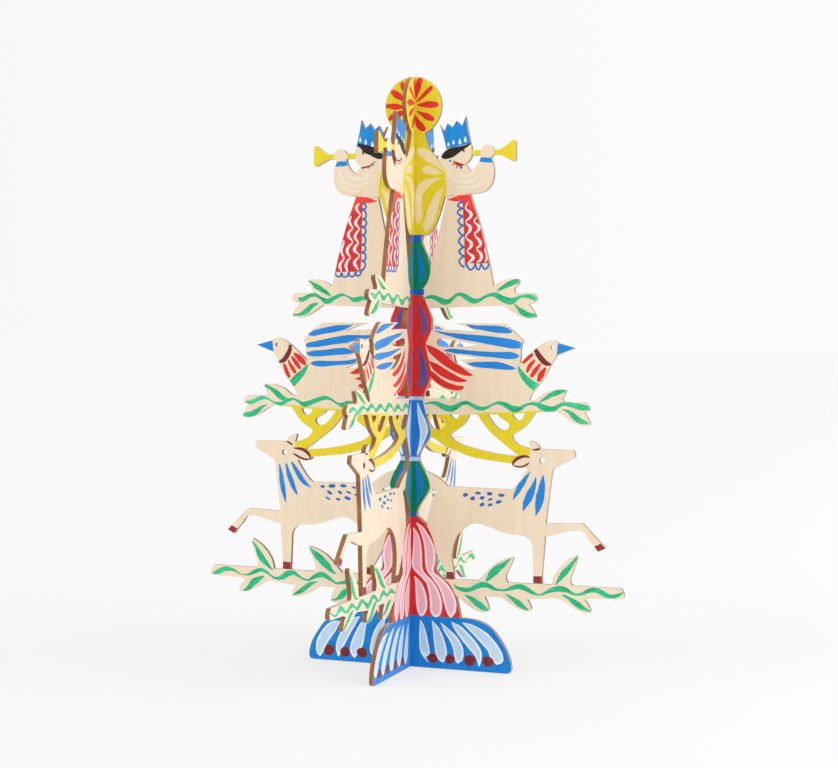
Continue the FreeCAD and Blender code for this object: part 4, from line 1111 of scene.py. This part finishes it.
def paint(name, base, deep, thin, streaks, pool):
    """Brushed poster paint: streaks along the stroke, a deeper edge where it pooled, thin dry ends."""
    n = Nodes(name)
    base, deep, thin = linear(base), linear(deep), linear(thin)
    brush, coat, wear = (n.xyz(n.add("UVMap", uv_map=layer)) for layer in ("brush", "coat", "wear"))
    length, breadth, edge, tone, share, dry = brush[0], brush[1], coat[0], coat[1], wear[0], wear[1]
    place = n.add("TexCoord", out=3)
    wander = n.maths("MULTIPLY", n.noise(place, 160.0), HAIR_WANDER)
    across = n.maths("ADD", n.maths("MULTIPLY", breadth, HAIR_ACROSS), wander)
    hairs = n.noise(n.add("CombineXYZ", n.maths("MULTIPLY", length, HAIR_ALONG), across,
                          n.maths("MULTIPLY", tone, HAIR_STROKE)), 1.0, 3.0, 0.6)
    load = n.stretched((length, LOAD_ALONG), (breadth, LOAD_ACROSS), (tone, LOAD_STROKE))
    mottle = n.noise(place, 420.0)
    colour = n.mix(n.between(hairs, 0.34, 0.74, 0.0, streaks), base, thin)
    colour = n.mix(n.between(load, 0.45, 0.8, 0.0, streaks), colour, deep)
    colour = n.mix(n.between(mottle, 0.3, 0.8, 0.0, 0.2), colour, deep)
    end = n.maths("MULTIPLY", n.between(share, 0.62, 1.0), n.between(dry, 0.25, 0.8))
    bare = n.maths("MULTIPLY", end, n.between(hairs, 0.3, 0.6, 0.35, 1.0), clamp=True)
    colour = n.mix(n.maths("MULTIPLY", bare, 0.75), colour, thin)
    ragged = n.maths("ADD", edge, n.maths("MULTIPLY", n.maths("SUBTRACT", load, 0.5), 0.35))
    colour = n.mix(n.between(ragged, 0.6, 0.98, 0.0, pool), colour, deep)
    rough = n.between(hairs, 0.2, 0.8, PAINT_ROUGHNESS - 0.08, PAINT_ROUGHNESS + 0.1)
    ridge = n.maths("ADD", hairs, n.maths("MULTIPLY", edge, 0.6))
    relief = n.add("Bump", *PAINT_RELIEF, named={"Height": ridge})
    return n.surface(Base_Color=colour, Roughness=rough, Normal=relief, IOR=1.45,
                     Specular_IOR_Level=PAINT_GLOSS, Sheen_Weight=0.35, Sheen_Roughness=0.35)


# colour: (base, deep, thin, streaks, pool), and the record's slot that it belongs to
PAINTS = {
    "red": (("CC2A2A", "A41A1E", "E04C48", 0.6, 0.5), "red_paint"),
    "bright_red": (("EC3832", "C01E1C", "F45E50", 0.6, 0.6), "red_paint"),
    "blue": (("0B7ECB", "0866AA", "3C9EE0", 0.6, 0.6), "blue_paint"),
    "foot_blue": (("0E78C8", "0A60AC", "2C94DE", 0.7, 0.4), "blue_paint"),
    "feather_blue": (("228FE2", "1A70C2", "4AA8F0", 0.6, 0.6), "blue_paint"),
    "spot_blue": (("2E76CC", "1E56A2", "4E92DE", 0.4, 0.6), "blue_paint"),
    "vase_stripe": (("088AD6", "0A68AE", "2C9CE2", 0.6, 0.6), "blue_paint"),
    "trim_blue": (("2F6FC4", "1F529C", "6C9AD8", 0.6, 0.5), "blue_paint"),
    "vase_blue": (("1E78CA", "145AA8", "3C94E0", 0.6, 0.5), "dark_blue_paint"),
    "dark_blue": (("1662BC", "0E4890", "2A7AD0", 0.5, 0.5), "dark_blue_paint"),
    "violet": (("4F62AE", "3C4C90", "6C7CC0", 0.6, 0.6), "violet_paint"),
    "pale_blue": (("C8DCEA", "A4C0DE", "E0EAF2", 0.7, 0.5), "pale_blue_paint"),
    "leaf_green": (("00AE79", "008E58", "60E0AD", 1.0, 0.3), "leaf_green_paint"),
    "vase_green": (("007C56", "005E3E", "10946A", 0.6, 0.5), "vase_green_paint"),
    "yellow": (("DAC61C", "C8AE0A", "E8D844", 0.6, 0.4), "yellow_paint"),
    "pink": (("EBC0CA", "DCA2B2", "F4D4DC", 0.7, 0.5), "pink_paint"),
    "blush": (("F8E2E4", "EEC8CE", "FCEEEE", 0.5, 0.3), "pink_paint"),
    "band": (("AAC6E6", "8CAAD4", "D4E2F2", 0.7, 0.5), "pale_blue_paint"),
    "white": (("F0F4F8", "CFDDEC", "FAFBFC", 0.5, 0.4), "white_paint"),
    "cream": (("EEE4CA", "DECB92", "F6EEDC", 0.6, 0.6), "white_paint"),
    "sleeve": (("E8DDCD", "DDCDB4", "F0E8DC", 0.6, 0.3), "white_paint"),
    "maroon": (("8A2C30", "621C20", "A24A4E", 0.5, 0.6), "maroon_paint"),
    "black": (("24201E", "181412", "383230", 0.4, 0.3), "black_paint"),
}


# ---------------------------------------------------------------- making the pieces

# which hands painted the right and the left half of each face: {(thin axis, facing): (right, left)}
HANDS = {(1, -1): (0, 1), (1, 1): (2, 0), (0, 1): (1, 2), (0, -1): (0, 1)}


def make_piece(panel, colour, film, material):
    """One colour of paint on one panel."""
    mesh = bpy.data.meshes.new(colour)
    mesh.from_pydata(film["points"], [], film["faces"])
    for layer in ("brush", "coat", "wear"):
        data = mesh.uv_layers.new(name=layer).data
        data.foreach_set("uv", np.array(film[layer], np.float32).ravel())
    mesh.materials.append(material)
    mesh.validate()
    piece = bpy.data.objects.new(panel.node + "_" + colour, mesh)
    bpy.context.scene.collection.objects.link(piece)
    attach(piece, panel.object["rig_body"])


def dress(node, materials):
    """Gives a panel its wood and paints both of its faces."""
    panel = Panel(node)
    wood = plywood(panel)
    panel.object.data.materials.clear()
    panel.object.data.materials.append(wood)
    outer, *holes = panel.loops()
    for facing in (-1, 1):
        right_hand, left_hand = HANDS[panel.thin, facing]
        coats = painting(1, right_hand)
        for key, shapes in painting(-1, left_hand).items():
            coats.setdefault(key, []).extend(shapes)
        loops = [inset(outer)] + [outset(hole) for hole in holes]
        for (colour, level), shapes in coats.items():
            panel.lay(colour, level, shapes, loops, facing)
    for colour, film in panel.films.items():
        make_piece(panel, colour, film, materials[colour])


materials = {name: paint(name, *look) for name, (look, slot) in PAINTS.items()}
for node in sorted(frame["nodes"]):
    dress(node, materials)


# ---------------------------------------------------------------- studio

FLOOR_HALF = 40                              # in metres
FLOOR_DROP = 0.0001                          # the floor lies this far under the feet
FLOOR_GLOW = 0.62
FLOOR_TINTS = (0.250, 0.252, 0.252, 1), (0.258, 0.259, 0.258, 1)
# painted light: the floor's colour grows a little paler from left to right between these two places, x in
# metres, standing in for more light falling on its right
FLOOR_SPAN = (-0.25, 0.6)
FLOOR_PAINTED_LIGHT_TINT = (0.296, 0.296, 0.294, 1)
# the bright surroundings grow a little brighter from left to right
WORLD_SPAN = (-0.6, 0.0)
WORLD_LEFT, WORLD_RIGHT = (0.926, 0.93, 0.928, 1), (0.978, 0.978, 0.976, 1)
# soft boxes: direction towards the light, energy, apparent width in degrees
LIGHTS = {"right": ((1, -0.03, 0.35), 1.75, 60), "left": ((-0.68, -0.7, 0.45), 1.0, 50)}
CAMERA_YAW, CAMERA_PITCH, CAMERA_ROLL = -18.916, -1.539, 0.5385      # in degrees
CAMERA_PLACE = (0.3673, -1.0558, 0.2225)
CAMERA_SENSOR, CAMERA_LENS = 36, 70.73       # in millimetres


def make_floor():
    """A wide pale tabletop that runs out of sight in every direction, softly lit from within."""
    n = Nodes("studio_floor")
    place = n.add("TexCoord", out=3)
    tint = n.mix(n.noise(place, 3.0), *FLOOR_TINTS)
    # painted light: the floor is tinted paler towards the right, where more light falls
    painted_light_rightward = n.between(n.xyz(place)[0], *FLOOR_SPAN)
    tint = n.mix(painted_light_rightward, tint, FLOOR_PAINTED_LIGHT_TINT)
    material = n.surface(Base_Color=tint, Roughness=1.0, Specular_IOR_Level=0.0,
                         Emission_Color=(1, 1, 1, 1), Emission_Strength=FLOOR_GLOW)
    mesh = bpy.data.meshes.new("studio_floor")
    signs = ((-1, -1), (1, -1), (1, 1), (-1, 1))
    mesh.from_pydata([(x * FLOOR_HALF, y * FLOOR_HALF, 0) for x, y in signs], [], [(0, 1, 2, 3)])
    mesh.materials.append(material)
    floor = bpy.data.objects.new("studio_floor", mesh)
    floor.location.z = cad_box[0].z - FLOOR_DROP
    bpy.context.scene.collection.objects.link(floor)


def make_surroundings():
    """A bright, plain white world."""
    world = bpy.data.worlds.new("studio")
    bpy.context.scene.world = world
    world.use_nodes = True
    nodes, links = world.node_tree.nodes, world.node_tree.links
    background = nodes["Background"]
    split = nodes.new("ShaderNodeSeparateXYZ")
    links.new(nodes.new("ShaderNodeTexCoord").outputs[0], split.inputs[0])
    share = nodes.new("ShaderNodeMapRange")
    share.inputs[1].default_value, share.inputs[2].default_value = WORLD_SPAN
    links.new(split.outputs[0], share.inputs[0])
    tint = nodes.new("ShaderNodeMix")
    tint.data_type = "RGBA"
    tint.inputs[6].default_value, tint.inputs[7].default_value = WORLD_LEFT, WORLD_RIGHT
    links.new(share.outputs[0], tint.inputs[0])
    links.new(tint.outputs[2], background.inputs[0])
    background.inputs[1].default_value = 1.0


def make_lights():
    for name, (direction, energy, spread) in LIGHTS.items():
        light = bpy.data.lights.new(name, "SUN")
        light.energy = energy
        light.angle = math.radians(spread)
        lamp = bpy.data.objects.new(name, light)
        lamp.rotation_mode = "QUATERNION"
        lamp.rotation_quaternion = Vector(direction).to_track_quat("Z", "Y")
        bpy.context.scene.collection.objects.link(lamp)


def make_camera():
    """The camera at the photograph's viewing angle."""
    yaw, pitch, roll = (math.radians(a) for a in (CAMERA_YAW, CAMERA_PITCH, CAMERA_ROLL))
    ahead = Vector((math.sin(yaw) * math.cos(pitch), math.cos(yaw) * math.cos(pitch), math.sin(pitch)))
    right = Vector((math.cos(yaw), -math.sin(yaw), 0))
    up = right.cross(ahead)
    across = right * math.cos(roll) + up * math.sin(roll)
    upright = up * math.cos(roll) - right * math.sin(roll)
    data = bpy.data.cameras.new("camera")
    data.sensor_width = CAMERA_SENSOR
    data.lens = CAMERA_LENS
    data.clip_end = 200
    camera = bpy.data.objects.new("camera", data)
    camera.matrix_world = Matrix((across, upright, -ahead)).transposed().to_4x4()
    camera.location = CAMERA_PLACE
    bpy.context.scene.collection.objects.link(camera)
    bpy.context.scene.camera = camera


make_floor()
make_surroundings()
make_lights()
make_camera()
bpy.context.scene.view_settings.view_transform = "Standard"
